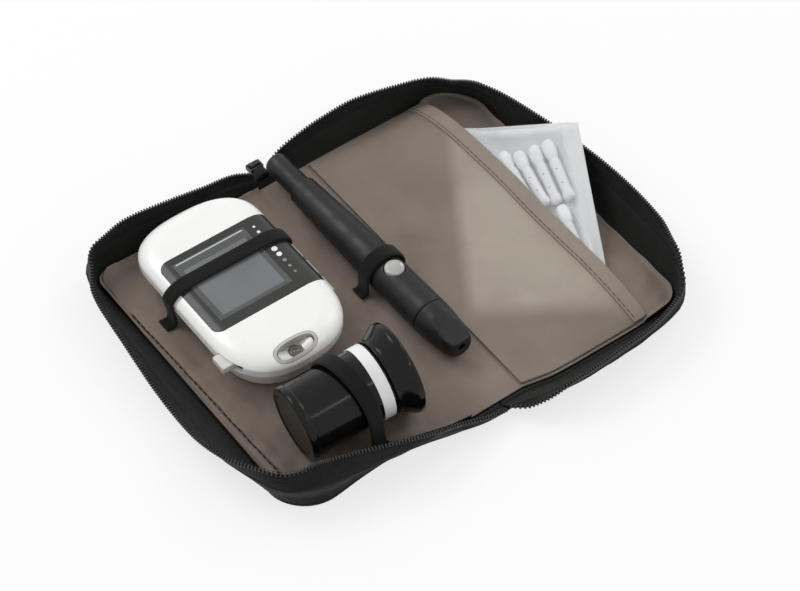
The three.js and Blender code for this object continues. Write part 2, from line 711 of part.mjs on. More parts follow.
function buildBag(parent) {
  const corner = new THREE.Vector2(BAG_CORNER_UP, BAG_CORNER_Y)
  const sideA = new THREE.Vector2(Math.cos(BAG_TURN_A), Math.sin(BAG_TURN_A)).multiplyScalar(BAG_SIDE_A)
  const sideB = new THREE.Vector2(Math.cos(BAG_TURN_B), Math.sin(BAG_TURN_B)).multiplyScalar(BAG_SIDE_B)
  const closer = (share) => share - Math.sin(2 * Math.PI * share) / (4 * Math.PI)
  const film = (fullness, low) => slab(FILM_STEPS, FILM_STEPS, (s, t, level) => {
    const [a, b] = [closer(s), closer(t)]
    const place = corner.clone().addScaledVector(sideA, a)
    place.addScaledVector(sideB, b * (1 - BAG_TAPER * a))
    const edge = Math.min(a, 1 - a) * BAG_SIDE_A
    const end = Math.min(b, 1 - b) * BAG_SIDE_B
    const full = smooth(edge / BAG_EDGE) * smooth(end / BAG_EDGE)
      * smooth((place.x + BAG_THIN_FROM) / (BAG_THIN_FROM - BAG_THIN_TO))
    return bagPoint(place.x, place.y, low + fullness * full + level * FILM_T)
  })
  piece(parent, 'lancet_bag_back', film(0, 0), FILM_CLEAR)
  piece(parent, 'lancet_bag_front', film(BAG_FULL, FILM_T + GAP), FILM_CLEAR)

  const neck = LANCET_L - LANCET_CAP_L - LANCET_NECK_L
  const tip = PEN_CHAMFER
  const profile = [
    [0, 0], [LANCET_BODY_R - tip, 0], [LANCET_BODY_R, tip], [LANCET_BODY_R, neck],
    [LANCET_NECK_R, neck], [LANCET_NECK_R, neck + LANCET_NECK_L],
    [LANCET_CAP_R, neck + LANCET_NECK_L], [LANCET_CAP_R, LANCET_L - tip],
    [LANCET_CAP_R - tip, LANCET_L], [0, LANCET_L],
  ]
  const lancet = turned(profile, SMALL_SIDES)
  LANCET_SHARES.forEach(([up, along, turnShare], i) => {
    const turn = turnShare * Math.PI
    const half = new THREE.Vector2(Math.cos(turn), Math.sin(turn)).multiplyScalar(LANCET_L / 2)
    const middle = new THREE.Vector2(up, along).multiplyScalar(BAG_CORNER_UP)
    const off = FILM_T + 1.5 * GAP + LANCET_CAP_R
    const from = bagPoint(middle.x + half.x, middle.y + half.y, off)
    const to = bagPoint(middle.x - half.x, middle.y - half.y, off)
    const mesh = piece(parent, `spare_lancet_${i + 1}`, lancet, LANCET_WHITE)
    mesh.position.copy(from)
    mesh.quaternion.setFromUnitVectors(point(0, 1, 0), to.clone().sub(from).normalize())
  })
}

// The meter's outline seen from above, drawn in by an inset
function meterOutline(inset) {
  const half = METER_W / 2 - inset
  const round = (value) => Math.sign(value) * Math.abs(value) ** (2 / METER_SQUARENESS)
  const outline = []
  const ends = [
    [0, METER_L / 2 - METER_TOP_ROUND, METER_TOP_ROUND - inset],
    [Math.PI, METER_BOTTOM_ROUND - METER_L / 2, METER_BOTTOM_ROUND - inset],
  ]
  for (const [start, middleY, depth] of ends) {
    for (let i = 0; i <= 2 * METER_QUARTER; i += 1) {
      const turn = start + (Math.PI / 2) * (i / METER_QUARTER)
      outline.push(new THREE.Vector2(half * round(Math.cos(turn)), middleY + depth * round(Math.sin(turn))))
    }
  }
  return outline
}

// A solid through the meter's outline at several levels of height and inset
function meterStack(levels) {
  const rings = levels.map(([height, inset]) => meterOutline(inset).map((p) => point(p.x, p.y, height)))
  const endFaces = THREE.ShapeUtils.triangulateShape(meterOutline(0), [])
  return skin(rings, endFaces)
}

function meterShell(shares, low, high, outward) {
  const level = ([rise, inset], wall) => {
    const closed = outward > 0 ? [low, high - wall] : [low + wall, high]
    return [THREE.MathUtils.lerp(closed[0], closed[1], rise), inset * METER_EDGE + wall]
  }
  const outer = meterStack(shares.map((row) => level(row, 0)))
  const inner = shares.map((row) => level(row, METER_WALL))
  const open = outward > 0 ? [low - OVERRUN, inner[0][1]] : [high + OVERRUN, inner[inner.length - 1][1]]
  const hollow = meterStack(outward > 0 ? [open, ...inner] : [...inner, open])
  return { outer, shell: cut(outer, hollow) }
}

function roundedOutline(left, right, low, high, radius) {
  const shape = new THREE.Shape()
  shape.moveTo(right, low)
  shape.lineTo(right, high)
  shape.lineTo(left + radius, high)
  shape.absarc(left + radius, high - radius, radius, Math.PI / 2, Math.PI, false)
  shape.lineTo(left, low + radius)
  shape.absarc(left + radius, low + radius, radius, Math.PI, 1.5 * Math.PI, false)
  return shape.getPoints(CORNER_STEPS)
}

function portOutline(inset) {
  const outline = []
  for (let i = 0; i < ROUND_SIDES; i += 1) {
    const turn = 2 * Math.PI * i / ROUND_SIDES
    const round = (value) => Math.sign(value) * Math.abs(value) ** (2 / METER_SQUARENESS)
    const x = PORT_X + (PORT_W / 2 - inset) * round(Math.cos(turn))
    outline.push(new THREE.Vector2(x, PORT_Y + (PORT_H / 2 - inset) * round(Math.sin(turn))))
  }
  return outline
}

function buildMeter(parent) {
  const front = meterShell(METER_FRONT_SHARES, METER_SEAM + GAP / 2, METER_H, 1)
  const back = meterShell(METER_BACK_SHARES, 0, METER_SEAM - GAP / 2, -1)
  const top = METER_H + OVERRUN
  const panelShape = (grow) => prism(roundedOutline(
    PANEL_LEFT_X - grow, METER_W / 2 + OVERRUN,
    PANEL_TOP_Y - PANEL_H - grow, PANEL_TOP_Y + grow, PANEL_CORNER_R,
  ), METER_SEAM, top)
  const windowBox = (grow, low, high) => box(
    point(WINDOW_X - WINDOW_W / 2 - grow, WINDOW_Y - WINDOW_H / 2 - grow, low),
    point(WINDOW_X + WINDOW_W / 2 + grow, WINDOW_Y + WINDOW_H / 2 + grow, high),
  )
  // The keys and the ejector come through slots in the seam
  const sideBox = (side, y, length, height, out, inside, grow) => {
    const [near, far] = [side * (METER_W / 2 + out), side * (METER_W / 2 - inside)]
    return box(
      point(Math.min(near, far), y - length / 2 - grow, METER_SEAM - height / 2 - grow),
      point(Math.max(near, far), y + length / 2 + grow, METER_SEAM + height / 2 + grow),
    )
  }
  const ejectorRun = sideBox(
    -1, EJECTOR_Y - EJECTOR_TRAVEL / 2, EJECTOR_L + EJECTOR_TRAVEL, EJECTOR_H,
    OVERRUN, EJECTOR_IN + GAP, GAP,
  )
  const keyPlaces = KEY_NAMES.map((_, i) => PANEL_TOP_Y - KEY_FROM_PANEL_TOP - i * KEY_PITCH)
  const keyRuns = keyPlaces.map((y) => (
    sideBox(1, y, KEY_L, KEY_H, OVERRUN, KEY_IN + KEY_TRAVEL + GAP, GAP)))
  const slots = [ejectorRun, ...keyRuns]
  const portHole = prism(portOutline(-GAP), METER_SEAM, top)
  piece(parent, 'meter_front_cover', cut(front.shell, panelShape(GAP), portHole, ...slots), GLOSS_WHITE)
  const panel = cut(common(front.shell, panelShape(0)), windowBox(GAP, METER_SEAM, top), ...slots)
  piece(parent, 'meter_display_panel', panel, PANEL_BLACK)
  piece(parent, 'meter_display_window', common(front.shell, windowBox(0, METER_SEAM, top)), SCREEN_GREY)

  const doorBox = (grow) => box(
    point(-DOOR_W / 2 - grow, CELL_Y - DOOR_L / 2 - grow, -OVERRUN),
    point(DOOR_W / 2 + grow, CELL_Y + DOOR_L / 2 + grow, METER_WALL + GAP / 2),
  )
  piece(parent, 'meter_back_cover', cut(back.shell, doorBox(GAP), ...slots), GLOSS_WHITE)
  piece(parent, 'battery_door', common(back.shell, doorBox(0)), GLOSS_WHITE)

  const cellLow = METER_WALL + GAP
  const cellY = [CELL_Y - CELL_PITCH / 2, CELL_Y + CELL_PITCH / 2]
  cellY.forEach((y, i) => {
    const cell = rod(CELL_R, cellLow, cellLow + CELL_T)
    cell.rotateX(Math.PI / 2)
    cell.translate(0, y, 0)
    piece(parent, `coin_cell_${i + 1}`, cell, STEEL)
  })
  const circuitLow = cellLow + CELL_T + GAP
  const circuit = prism(meterOutline(CIRCUIT_INSET), circuitLow, circuitLow + CIRCUIT_T)
  piece(parent, 'meter_circuit_board', circuit, CIRCUIT_GREEN)
  const screenLow = circuitLow + CIRCUIT_T + GAP
  const screen = windowBox(SCREEN_RIM, screenLow, METER_H - METER_WALL - 2 * GAP)
  piece(parent, 'meter_screen', screen, SCREEN_GREY)

  const port = cut(
    common(front.outer, prism(portOutline(0), PORT_TOP - PORT_FLOOR_T, top)),
    prism(portOutline(PORT_RIM), PORT_TOP, top),
  )
  const lamp = rod(PORT_LAMP_R, PORT_TOP - PORT_FLOOR_T / 2, PORT_TOP + PORT_LAMP_H, SMALL_SIDES)
  lamp.rotateX(Math.PI / 2)
  lamp.translate(PORT_X, PORT_Y, 0)
  piece(parent, 'strip_port', join(port, lamp), PORT_GREY)

  const ejector = sideBox(-1, EJECTOR_Y, EJECTOR_L, EJECTOR_H, EJECTOR_OUT, EJECTOR_IN, 0)
  piece(parent, 'strip_ejector', ejector, GLOSS_WHITE)
  KEY_NAMES.forEach((name, i) => {
    piece(parent, name, sideBox(1, keyPlaces[i], KEY_L, KEY_H, KEY_OUT, KEY_IN, 0), PORT_GREY)
  })
}

function buildPen(parent) {
  const bodyEnd = PEN_L / 2 - PEN_BUTTON_L
  const bodyFront = PEN_SEAM_Y + GAP / 2
  const barrel = turned([
    [PEN_BORE_R, bodyFront], [PEN_R - PEN_CHAMFER / 2, bodyFront], [PEN_R, bodyFront + PEN_CHAMFER],
    [PEN_MIDDLE_R, 0], [PEN_END_R, bodyEnd - PEN_CHAMFER], [PEN_END_R - PEN_CHAMFER / 2, bodyEnd],
    [PEN_BORE_R, bodyEnd], [PEN_BORE_R, bodyFront],
  ])
  const upright = (radius, low, high) => {
    const geometry = rod(radius, low, high)
    geometry.rotateX(Math.PI / 2)
    return geometry.translate(0, PEN_RELEASE_Y, 0)
  }
  const releaseHole = upright(PEN_RELEASE_R + GAP, HOLDER_R, PEN_R + OVERRUN)
  piece(parent, 'pen_body', cut(barrel, releaseHole), PEN_GREY)
  const release = upright(PEN_RELEASE_R, PEN_RELEASE_FOOT, PEN_RELEASE_TOP)
  piece(parent, 'pen_release_button', release, CLEAR_GREY)

  const buttonR = PEN_BORE_R - GAP
  const buttonFoot = bodyEnd - PEN_BUTTON_STEM
  const end = PEN_L / 2
  const button = turned([
    [0, buttonFoot], [buttonR, buttonFoot], [buttonR, end - 2 * PEN_CHAMFER],
    [buttonR - PEN_CHAMFER, end - PEN_CHAMFER / 2], [0, end],
  ])
  piece(parent, 'pen_priming_button', button, PEN_GREY)

  const capBack = PEN_SEAM_Y - GAP / 2
  const capEnd = -PEN_L / 2
  const cap = turned([
    [PEN_BORE_R, capBack], [PEN_R - PEN_CHAMFER / 2, capBack], [PEN_R, capBack - PEN_CHAMFER],
    [PEN_CAP_BEND_R, capEnd + PEN_CAP_BEND_L], [PEN_CAP_END_R, capEnd],
    [PEN_CAP_HOLE_R, capEnd], [PEN_CAP_HOLE_R, capEnd + PEN_CAP_WALL],
    [PEN_CAP_END_R - PEN_CAP_WALL, capEnd + PEN_CAP_WALL], [PEN_BORE_R, capEnd + PEN_CAP_BEND_L],
    [PEN_BORE_R, capBack],
  ])
  piece(parent, 'pen_cap', cap, PEN_GREY)
  const collar = tube(
    PEN_BORE_R - GAP, HOLDER_R + GAP, PEN_SEAM_Y - PEN_COLLAR_L / 2, PEN_SEAM_Y + PEN_COLLAR_L / 2,
  )
  piece(parent, 'pen_collar', collar, DARK_METAL)

  const holderBack = HOLDER_FRONT + HOLDER_L
  piece(parent, 'lancet_holder', rod(HOLDER_R, HOLDER_FRONT, holderBack), GLOSS_WHITE)
  const needleBack = HOLDER_FRONT - GAP
  const needle = turned([
    [0, needleBack], [NEEDLE_R, needleBack], [NEEDLE_R, needleBack - NEEDLE_L / 2],
    [NEEDLE_TIP_R, needleBack - NEEDLE_L / 2], [NEEDLE_TIP_R, needleBack - NEEDLE_L],
    [0, needleBack - NEEDLE_L],
  ], SMALL_SIDES)
  piece(parent, 'pen_lancet', needle, LANCET_WHITE)

  const springFrom = holderBack + GAP + SPRING_WIRE_R
  const springTo = buttonFoot - GAP - SPRING_WIRE_R
  class Coil extends THREE.Curve {
    getPoint(share, target = new THREE.Vector3()) {
      const turn = 2 * Math.PI * SPRING_TURNS * share
      const along = THREE.MathUtils.lerp(springFrom, springTo, share)
      return target.set(SPRING_R * Math.cos(turn), along, SPRING_R * Math.sin(turn))
    }
  }
  piece(parent, 'drive_spring', sweep(new Coil(), SPRING_WIRE_R, SPRING_TURNS * 8, 5), STEEL)
}

// A round wire along a curve
function sweep(path, radius, steps, sides) {
  const section = new THREE.Shape()
  section.absarc(0, 0, radius, 0, 2 * Math.PI, false)
  const ring = new THREE.Shape(section.getSpacedPoints(sides).slice(0, -1))
  return weld(new THREE.ExtrudeGeometry(ring, { steps, extrudePath: path, bevelEnabled: false }))
}

const LID_FROM = VIAL_L - VIAL_LID_L
const VIAL_TILT = Math.asin((VIAL_LID_R - VIAL_BASE_R) / (VIAL_L - VIAL_LID_RIM - VIAL_CHAMFER))

// A group that lies along the vial's line, from its base
function vialFrame(parent) {
  const turn = new THREE.Group()
  turn.position.set(VIAL_X, VIAL_Y, FLOOR_TOP + GAP + VIAL_BASE_R * Math.cos(VIAL_TILT))
  turn.rotation.z = VIAL_TURN
  const tilt = new THREE.Group()
  tilt.rotation.x = VIAL_TILT
  turn.add(tilt)
  parent.add(turn)
  return tilt
}

function buildVial(parent) {
  const frame = vialFrame(parent)
  const innerR = VIAL_R - VIAL_WALL
  const bodyTop = LID_FROM - GAP
  const body = turned([
    [0, 0], [VIAL_BASE_R - VIAL_CHAMFER, 0], [VIAL_BASE_R, VIAL_CHAMFER], [VIAL_BASE_R, VIAL_BASE_H],
    [VIAL_R, VIAL_BASE_H + VIAL_CHAMFER], [VIAL_R, bodyTop], [innerR, bodyTop],
    [innerR, VIAL_WALL], [0, VIAL_WALL],
  ], VIAL_SIDES)
  piece(frame, 'vial_body', body, GLOSS_BLACK)
  const plugR = innerR - VIAL_PLUG_GAP
  const plugLow = LID_FROM - VIAL_PLUG_H
  const linerR = innerR - GAP
  piece(frame, 'vial_liner', tube(linerR, linerR - LINER_T, VIAL_WALL + GAP, plugLow - GAP), LINER_WHITE)
  const labelR = VIAL_R + GAP
  const label = tube(labelR + LABEL_T, labelR, LABEL_TOP - LABEL_W, LABEL_TOP, VIAL_SIDES)
  piece(frame, 'vial_label', label, LABEL_WHITE)

  const lid = turned([
    [0, VIAL_L - VIAL_WALL], [plugR - VIAL_WALL, VIAL_L - VIAL_WALL], [plugR - VIAL_WALL, plugLow],
    [plugR, plugLow], [plugR, LID_FROM], [VIAL_LID_FOOT_R, LID_FROM],
    [VIAL_LID_FOOT_R, LID_FROM + VIAL_LID_FLARE_L], [VIAL_LID_R, VIAL_L - VIAL_LID_RIM],
    [VIAL_LID_R, VIAL_L - VIAL_CHAMFER], [VIAL_LID_R - VIAL_CHAMFER, VIAL_L], [0, VIAL_L],
  ], VIAL_SIDES)
  piece(frame, 'vial_lid', lid, GLOSS_BLACK)

  const stripsLow = GAP - Math.sqrt((linerR - LINER_T) ** 2 - (STRIPS_W / 2) ** 2)
  const strips = box(
    point(-STRIPS_W / 2, VIAL_WALL + GAP, stripsLow),
    point(STRIPS_W / 2, VIAL_WALL + GAP + STRIPS_L, stripsLow + STRIPS_T),
  )
  piece(frame, 'test_strips', strips, LABEL_WHITE)
}

// A flat band along an open outline, kept a slack away from it on its right-hand side
function band(outline, slack, width) {
  const offset = (distance) => outline.map((p, i) => {
    const before = i > 0 ? p.clone().sub(outline[i - 1]).normalize() : null
    const after = i + 1 < outline.length ? outline[i + 1].clone().sub(p).normalize() : null
    const first = before ?? after
    const second = after ?? before
    const middle = first.clone().add(second).normalize()
    const out = new THREE.Vector2(middle.y, -middle.x)
    return p.clone().addScaledVector(out, distance / middle.dot(first))
  })
  const shape = [...offset(slack), ...offset(slack + LOOP_T).reverse()]
  const geometry = prism(shape, -width / 2, width / 2)
  return geometry.rotateX(Math.PI / 2)
}

function arcPoints(radius) {
  const points = []
  for (let i = 0; i <= SMALL_SIDES; i += 1) {
    const turn = Math.PI * i / SMALL_SIDES
    points.push(new THREE.Vector2(radius * Math.cos(turn), radius * Math.sin(turn)))
  }
  return points
}

function buildLoops(parent, meter, pen) {
  const v = (x, y) => new THREE.Vector2(x, y)
  const half = METER_W / 2
  const side = METER_FRONT_SHARES.map(([rise, inset]) => (
    v(half - inset * METER_EDGE, THREE.MathUtils.lerp(METER_SEAM, METER_H, rise))))
  const right = [v(half - LOOP_NIP, GAP), ...side]
  const left = side.map((p) => v(-p.x, p.y)).reverse()
  const foot = [v(LOOP_NIP - half, 0), v(-half - LOOP_FOOT, 0)]
  const meterLoop = band([...right, ...left, ...foot], LOOP_SLACK, LOOP_W)
  const held = new THREE.Group()
  held.position.copy(meter.position)
  piece(held, 'meter_loop', meterLoop.translate(0, METER_LOOP_Y, 0), ELASTIC)
  parent.add(held)

  const penPath = [
    v(PEN_R, GAP - PEN_R), ...arcPoints(PEN_R), v(-PEN_R, -PEN_R), v(-PEN_R - LOOP_FOOT, -PEN_R),
  ]
  const penHeld = new THREE.Group()
  penHeld.position.copy(pen.position)
  penHeld.rotation.copy(pen.rotation)
  piece(penHeld, 'pen_loop', band(penPath, LOOP_SLACK, LOOP_W).translate(0, PEN_LOOP_Y, 0), ELASTIC)
  parent.add(penHeld)

  const frame = vialFrame(parent)
  const drop = VIAL_BASE_R + (VIAL_LOOP_Y - LOOP_W) * Math.sin(VIAL_TILT) - GAP
  const vialPath = [
    v(VIAL_R + LOOP_FOOT, -drop), v(VIAL_R, -drop), ...arcPoints(VIAL_R), v(-VIAL_R, -drop),
  ]
  const vialLoop = band(vialPath, VIAL_LOOP_SLACK, LOOP_W)
  vialLoop.rotateZ(VIAL_LOOP_SLANT)
  piece(frame, 'vial_loop', vialLoop.translate(0, VIAL_LOOP_Y, 0), ELASTIC)
}

const kit = new THREE.Group()
buildHalf(kit, LEFT)
buildHalf(kit, RIGHT)
buildSpine(kit)
buildZipEnd(kit)
buildPocket(kit)
buildBag(kit)

const meter = new THREE.Group()
meter.position.set(METER_X, METER_Y, FLOOR_TOP + GAP)
buildMeter(meter)
kit.add(meter)

const pen = new THREE.Group()
pen.position.set(PEN_X, PEN_Y, FLOOR_TOP + GAP + PEN_R)
pen.rotation.z = PEN_TURN
buildPen(pen)
kit.add(pen)

buildVial(kit)
buildLoops(kit, meter, pen)

export default kit
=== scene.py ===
from math import asin, copysign, cos, pi, radians, sin, sqrt, tan
from types import SimpleNamespace

import bmesh
import bpy
from mathutils import Matrix, Vector, noise
from mathutils.bvhtree import BVHTree


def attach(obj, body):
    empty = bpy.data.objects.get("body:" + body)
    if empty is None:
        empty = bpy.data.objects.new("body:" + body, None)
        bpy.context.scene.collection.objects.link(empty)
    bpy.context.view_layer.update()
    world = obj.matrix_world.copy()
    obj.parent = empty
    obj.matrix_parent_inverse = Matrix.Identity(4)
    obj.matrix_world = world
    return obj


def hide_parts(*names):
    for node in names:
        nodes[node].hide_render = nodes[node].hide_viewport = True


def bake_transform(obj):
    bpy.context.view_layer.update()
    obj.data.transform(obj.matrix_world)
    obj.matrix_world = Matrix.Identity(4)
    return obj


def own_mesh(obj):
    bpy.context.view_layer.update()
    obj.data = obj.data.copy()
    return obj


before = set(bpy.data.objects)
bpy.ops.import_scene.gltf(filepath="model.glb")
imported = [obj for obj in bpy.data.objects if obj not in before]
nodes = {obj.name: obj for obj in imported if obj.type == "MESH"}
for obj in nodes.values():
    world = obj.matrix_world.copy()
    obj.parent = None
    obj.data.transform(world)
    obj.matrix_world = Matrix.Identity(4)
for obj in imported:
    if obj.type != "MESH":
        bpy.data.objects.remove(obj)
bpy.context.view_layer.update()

# Points and sizes are in millimetres in the CAD's frame, and become metres in build().
MM = 0.001
GAP = 0.3
UP = Vector((0, 0, 1))


def added(name, data):
    """A new object in the scene."""
    made = bpy.data.objects.new(name, data)
    bpy.context.scene.collection.objects.link(made)
    return made


# ---------------------------------------------------------------- camera and light
EYE = Vector((-328.2, -451.2, 669.9)) * MM
AIM = Vector((2.6, -4.5, 0)) * MM


def aimed(piece, at, target):
    piece.location = at
    piece.rotation_euler = (Vector(target) - Vector(at)).to_track_quat("-Z", "Y").to_euler()


camera_data = bpy.data.cameras.new("camera")
camera_data.sensor_width = 36
camera_data.lens = 116.7
camera_data.clip_start = 0.01
bpy.context.scene.camera = added("camera", camera_data)
aimed(bpy.context.scene.camera, EYE, AIM)


def lamp(name, at, size, power, target=(0, 0, 0)):
    data = bpy.data.lights.new(name, "AREA")
    data.shape = "RECTANGLE"
    data.size, data.size_y = size
    data.energy = power
    aimed(added(name, data), at, target)


lamp("key_lamp", (-0.35, 0.75, 0.95), (0.7, 0.5), 5.2)
lamp("side_lamp", (0.9, 0.1, 0.8), (0.3, 0.6), 1.6)
lamp("strip_lamp", (0.3, -0.5, 0.72), (0.5, 0.05), 0.5, (-0.045, -0.038, 0.02))

bpy.context.scene.view_settings.view_transform = "Standard"


def step(tree, kind, values=None, out=0, **settings):
    made = tree.nodes.new("ShaderNode" + kind)
    for key, value in settings.items():
        setattr(made, key, value)
    for key, value in (values or {}).items():
        if isinstance(value, bpy.types.NodeSocket):
            tree.links.new(value, made.inputs[key])
        else:
            made.inputs[key].default_value = value
    return made.outputs[out]


def maths(tree, operation, *terms):
    return step(tree, "Math", dict(enumerate(terms)), operation=operation)


def seen_directly(tree):
    """1 for the rays that see the background: camera, glossy and transmission rays."""
    path = tree.nodes.new("ShaderNodeLightPath")
    mirrored = maths(tree, "MAXIMUM", path.outputs["Is Glossy Ray"], path.outputs["Is Transmission Ray"])
    return maths(tree, "MAXIMUM", path.outputs["Is Camera Ray"], mirrored)


AMBIENT, FLOOR_GLOW = 0.66, 0.72
FLOOR_HALF, FLOOR_Z = 4, -0.0001
world = bpy.data.worlds.new("studio")
world.use_nodes = True
bpy.context.scene.world = world
background = world.node_tree.nodes["Background"]
background.inputs["Color"].default_value = (1, 1, 1, 1)
lift = maths(world.node_tree, "MULTIPLY", seen_directly(world.node_tree), 1 - AMBIENT)
world.node_tree.links.new(maths(world.node_tree, "ADD", lift, AMBIENT), background.inputs["Strength"])

floor_mesh = bpy.data.meshes.new("floor")
corners = [(x * FLOOR_HALF, y * FLOOR_HALF, FLOOR_Z) for x, y in ((-1, -1), (1, -1), (1, 1), (-1, 1))]
floor_mesh.from_pydata(corners, [], [(0, 1, 2, 3)])
floor = added("floor", floor_mesh)
floor_material = bpy.data.materials.new("floor_white")
floor_material.use_nodes = True
floor_tree = floor_material.node_tree
floor_tree.nodes.remove(floor_tree.nodes["Principled BSDF"])
paper = step(floor_tree, "BsdfDiffuse", {"Color": (0.94, 0.94, 0.94, 1)})
glow = step(floor_tree, "Emission", {"Color": (1, 1, 1, 1), "Strength": 1.0})
glow_share = maths(floor_tree, "MULTIPLY", seen_directly(floor_tree), FLOOR_GLOW)
floor_shader = step(floor_tree, "MixShader", {0: glow_share, 1: paper, 2: glow})
floor_tree.links.new(floor_shader, floor_tree.nodes["Material Output"].inputs["Surface"])
floor_mesh.materials.append(floor_material)

# ---------------------------------------------------------------- materials
WAVE_SCALE = 0.31416  # a wave texture's scale for one band each unit


def colour(value):
    """A colour from three sRGB levels, or a socket as it is."""
    def linear(level):
        share = level / 255
        return share / 12.92 if share <= 0.04045 else ((share + 0.055) / 1.055) ** 2.4
    return value if isinstance(value, bpy.types.NodeSocket) else (*[linear(level) for level in value], 1)


class Finish:
    """A procedural material around one Principled shader. Its sizes are in millimetres."""

    def __init__(self, slot, base, rough, level=0.5, title=None, **sockets):
        self.slot = slot
        self.material = bpy.data.materials.new(title or slot)
        self.material.use_nodes = True
        self.tree = self.material.node_tree
        self.coords = self.tree.nodes.new("ShaderNodeTexCoord").outputs
        self.shader = self.tree.nodes["Principled BSDF"]
        values = {"Base Color": colour(base), "Roughness": rough, "Specular IOR Level": level, **sockets}
        for name, value in values.items():
            self.shader.inputs[name.replace("_", " ")].default_value = value

    def step(self, kind, values=None, out=0, **settings):
        return step(self.tree, kind, values, out, **settings)

    def maths(self, operation, *terms):
        return maths(self.tree, operation, *terms)

    def times(self, first, second):
        return self.maths("MULTIPLY", first, second)

    def plus(self, first, second):
        return self.maths("ADD", first, second)

    def ramp(self, value, low, high, first=0.0, last=1.0, **settings):
        """From first to last as the value goes from low to high."""
        return self.step("MapRange", {"Value": value, "From Min": low, "From Max": high,
                                      "To Min": first, "To Max": last}, **settings)

    def noise(self, size, detail=3, low=0.35, high=0.65, stretch=(1, 1, 1)):
        """Soft noise from 0 to 1, whose features are about size across."""
        place = self.step("Mapping", {"Vector": self.coords["Object"], "Scale": stretch})
        value = self.step("TexNoise", {"Vector": place, "Scale": 1 / (size * MM), "Detail": detail})
        return self.ramp(value, low, high)

    def mix(self, share, first, second):
        return self.step("MixRGB", {"Fac": share, "Color1": colour(first), "Color2": colour(second)})

    def link(self, value, name):
        self.tree.links.new(value, self.shader.inputs[name])
        return self

    def colours(self, share, first, second):
        return self.link(self.mix(share, first, second), "Base Color")

    def roughness(self, share, low, high):
        return self.link(self.ramp(share, 0, 1, low, high), "Roughness")

    def bump(self, height, depth):
        bump = self.step("Bump", {"Height": height, "Strength": 1, "Distance": depth * MM})
        return self.link(bump, "Normal")

    def waves(self, period, direction, space="UV"):
        """Bands across one direction."""
        return self.step("TexWave", {"Vector": self.coords[space], "Scale": WAVE_SCALE / (period * MM)},
                         out=1, bands_direction=direction)

    def weave(self, period):
        return self.times(self.waves(period, "X"), self.waves(period, "Y"))

    def beyond(self, direction, at, soft):
        """From 0 to 1 across a line through a place, where direction points."""
        reach = self.step("VectorMath", {0: self.coords["Object"], 1: (*direction, 0)}, out=1,
                          operation="DOT_PRODUCT")
        line = direction[0] * at[0] + direction[1] * at[1]
        return self.ramp(reach, (line - soft) * MM, (line + soft) * MM, interpolation_type="SMOOTHSTEP")

    def axes(self, space):
        return self.step("SeparateXYZ", {0: self.coords[space]}).node.outputs

    def within(self, axis, low, high, soft=0.12):
        """1 between two places along an axis of the CAD's frame."""
        rising = self.ramp(axis, (low - soft) * MM, (low + soft) * MM)
        falling = self.ramp(axis, (high - soft) * MM, (high + soft) * MM, 1.0, 0.0)
        return self.times(rising, falling)


def black_cloth(slot, low, high, rough, weave, depth):
    finish = Finish(slot, low, rough, level=0.12, Sheen_Weight=0.06, Sheen_Roughness=0.5)
    finish.colours(finish.noise(14, 4), low, high)
    finish.roughness(finish.noise(5), rough - 0.08, min(rough + 0.06, 1))
    return finish.bump(finish.plus(finish.weave(weave), finish.noise(1.2, 2)), depth)


def coated_cloth(slot, shade, middle, light, rough, title=None):
    """Thin coated lining cloth: soft broad patches of painted sheen and mottled tone, a faint weave, small
    crinkles and soft folds.
    """
    finish = Finish(slot, middle, rough, level=0.25, title=title, Sheen_Weight=0.08, Sheen_Roughness=0.45)
    # Painted sheen: broad noise patches mix the painted-shade taupe, the middle one and the painted-light
    # taupe.
    broad = finish.mix(finish.noise(42, 2, 0.3, 0.7, stretch=(1, 0.6, 1)), shade, middle)
    finish.colours(finish.times(finish.noise(24, 3, 0.45, 0.8), 0.7), broad, light)
    finish.roughness(finish.noise(9, 3), rough - 0.08, rough + 0.1)
    crinkle = finish.times(finish.noise(5, 4, 0.2, 0.8, stretch=(1, 0.5, 1)), 4.0)
    folds = finish.times(finish.noise(17, 2, 0.2, 0.8, stretch=(1, 0.7, 1)), 26.0)
    rumpled = finish.plus(crinkle, folds)
    return finish.bump(finish.plus(rumpled, finish.weave(0.35)), 0.05)


def thread(slot, title, base, low, high, rough, direction):
    finish = Finish(slot, base, rough, level=0.2, title=title)
    return finish.colours(finish.waves(0.4, direction, "Object"), low, high)


def plastic(slot, low, high, rough, level=0.5, grain=1.5, depth=0.004, title=None, **sockets):
    finish = Finish(slot, low, rough, level, title, **sockets)
    finish.colours(finish.noise(18, 3), low, high)
    finish.roughness(finish.noise(4, 4), rough * 0.85, min(rough * 1.2, 1))
    return finish.bump(finish.noise(grain, 3, 0.2, 0.8), depth)


CLOTH_BLACK = black_cloth("cloth_black", (26, 26, 25), (33, 33, 32), 0.75, 0.55, 0.06)
TAPE_BLACK = black_cloth("tape_black", (23, 23, 23), (31, 31, 31), 0.85, 0.8, 0.1)
LINING_TAUPE = coated_cloth("lining_taupe", (110, 98, 89), (136, 123, 113), (150, 137, 126), 0.55)
POCKET_TAUPE = coated_cloth("pocket_taupe", (116, 105, 96), (130, 119, 109), (140, 129, 118), 0.5)
HEM_TAUPE = coated_cloth("pocket_taupe", (130, 119, 108), (142, 131, 120), (150, 139, 127), 0.5, "hem_taupe")
# Very dark brown: real thread, and also the painted shadow of the left lining's seam.
THREAD_AND_SHADE_BROWN = thread("lining_taupe", "thread_and_shade_brown", (46, 36, 31), (38, 29, 25), (58, 47, 41), 0.8, "X")
THREAD_TAUPE = thread("pocket_taupe", "thread_taupe", (104, 92, 80), (94, 82, 71), (116, 104, 92), 0.7, "Y")
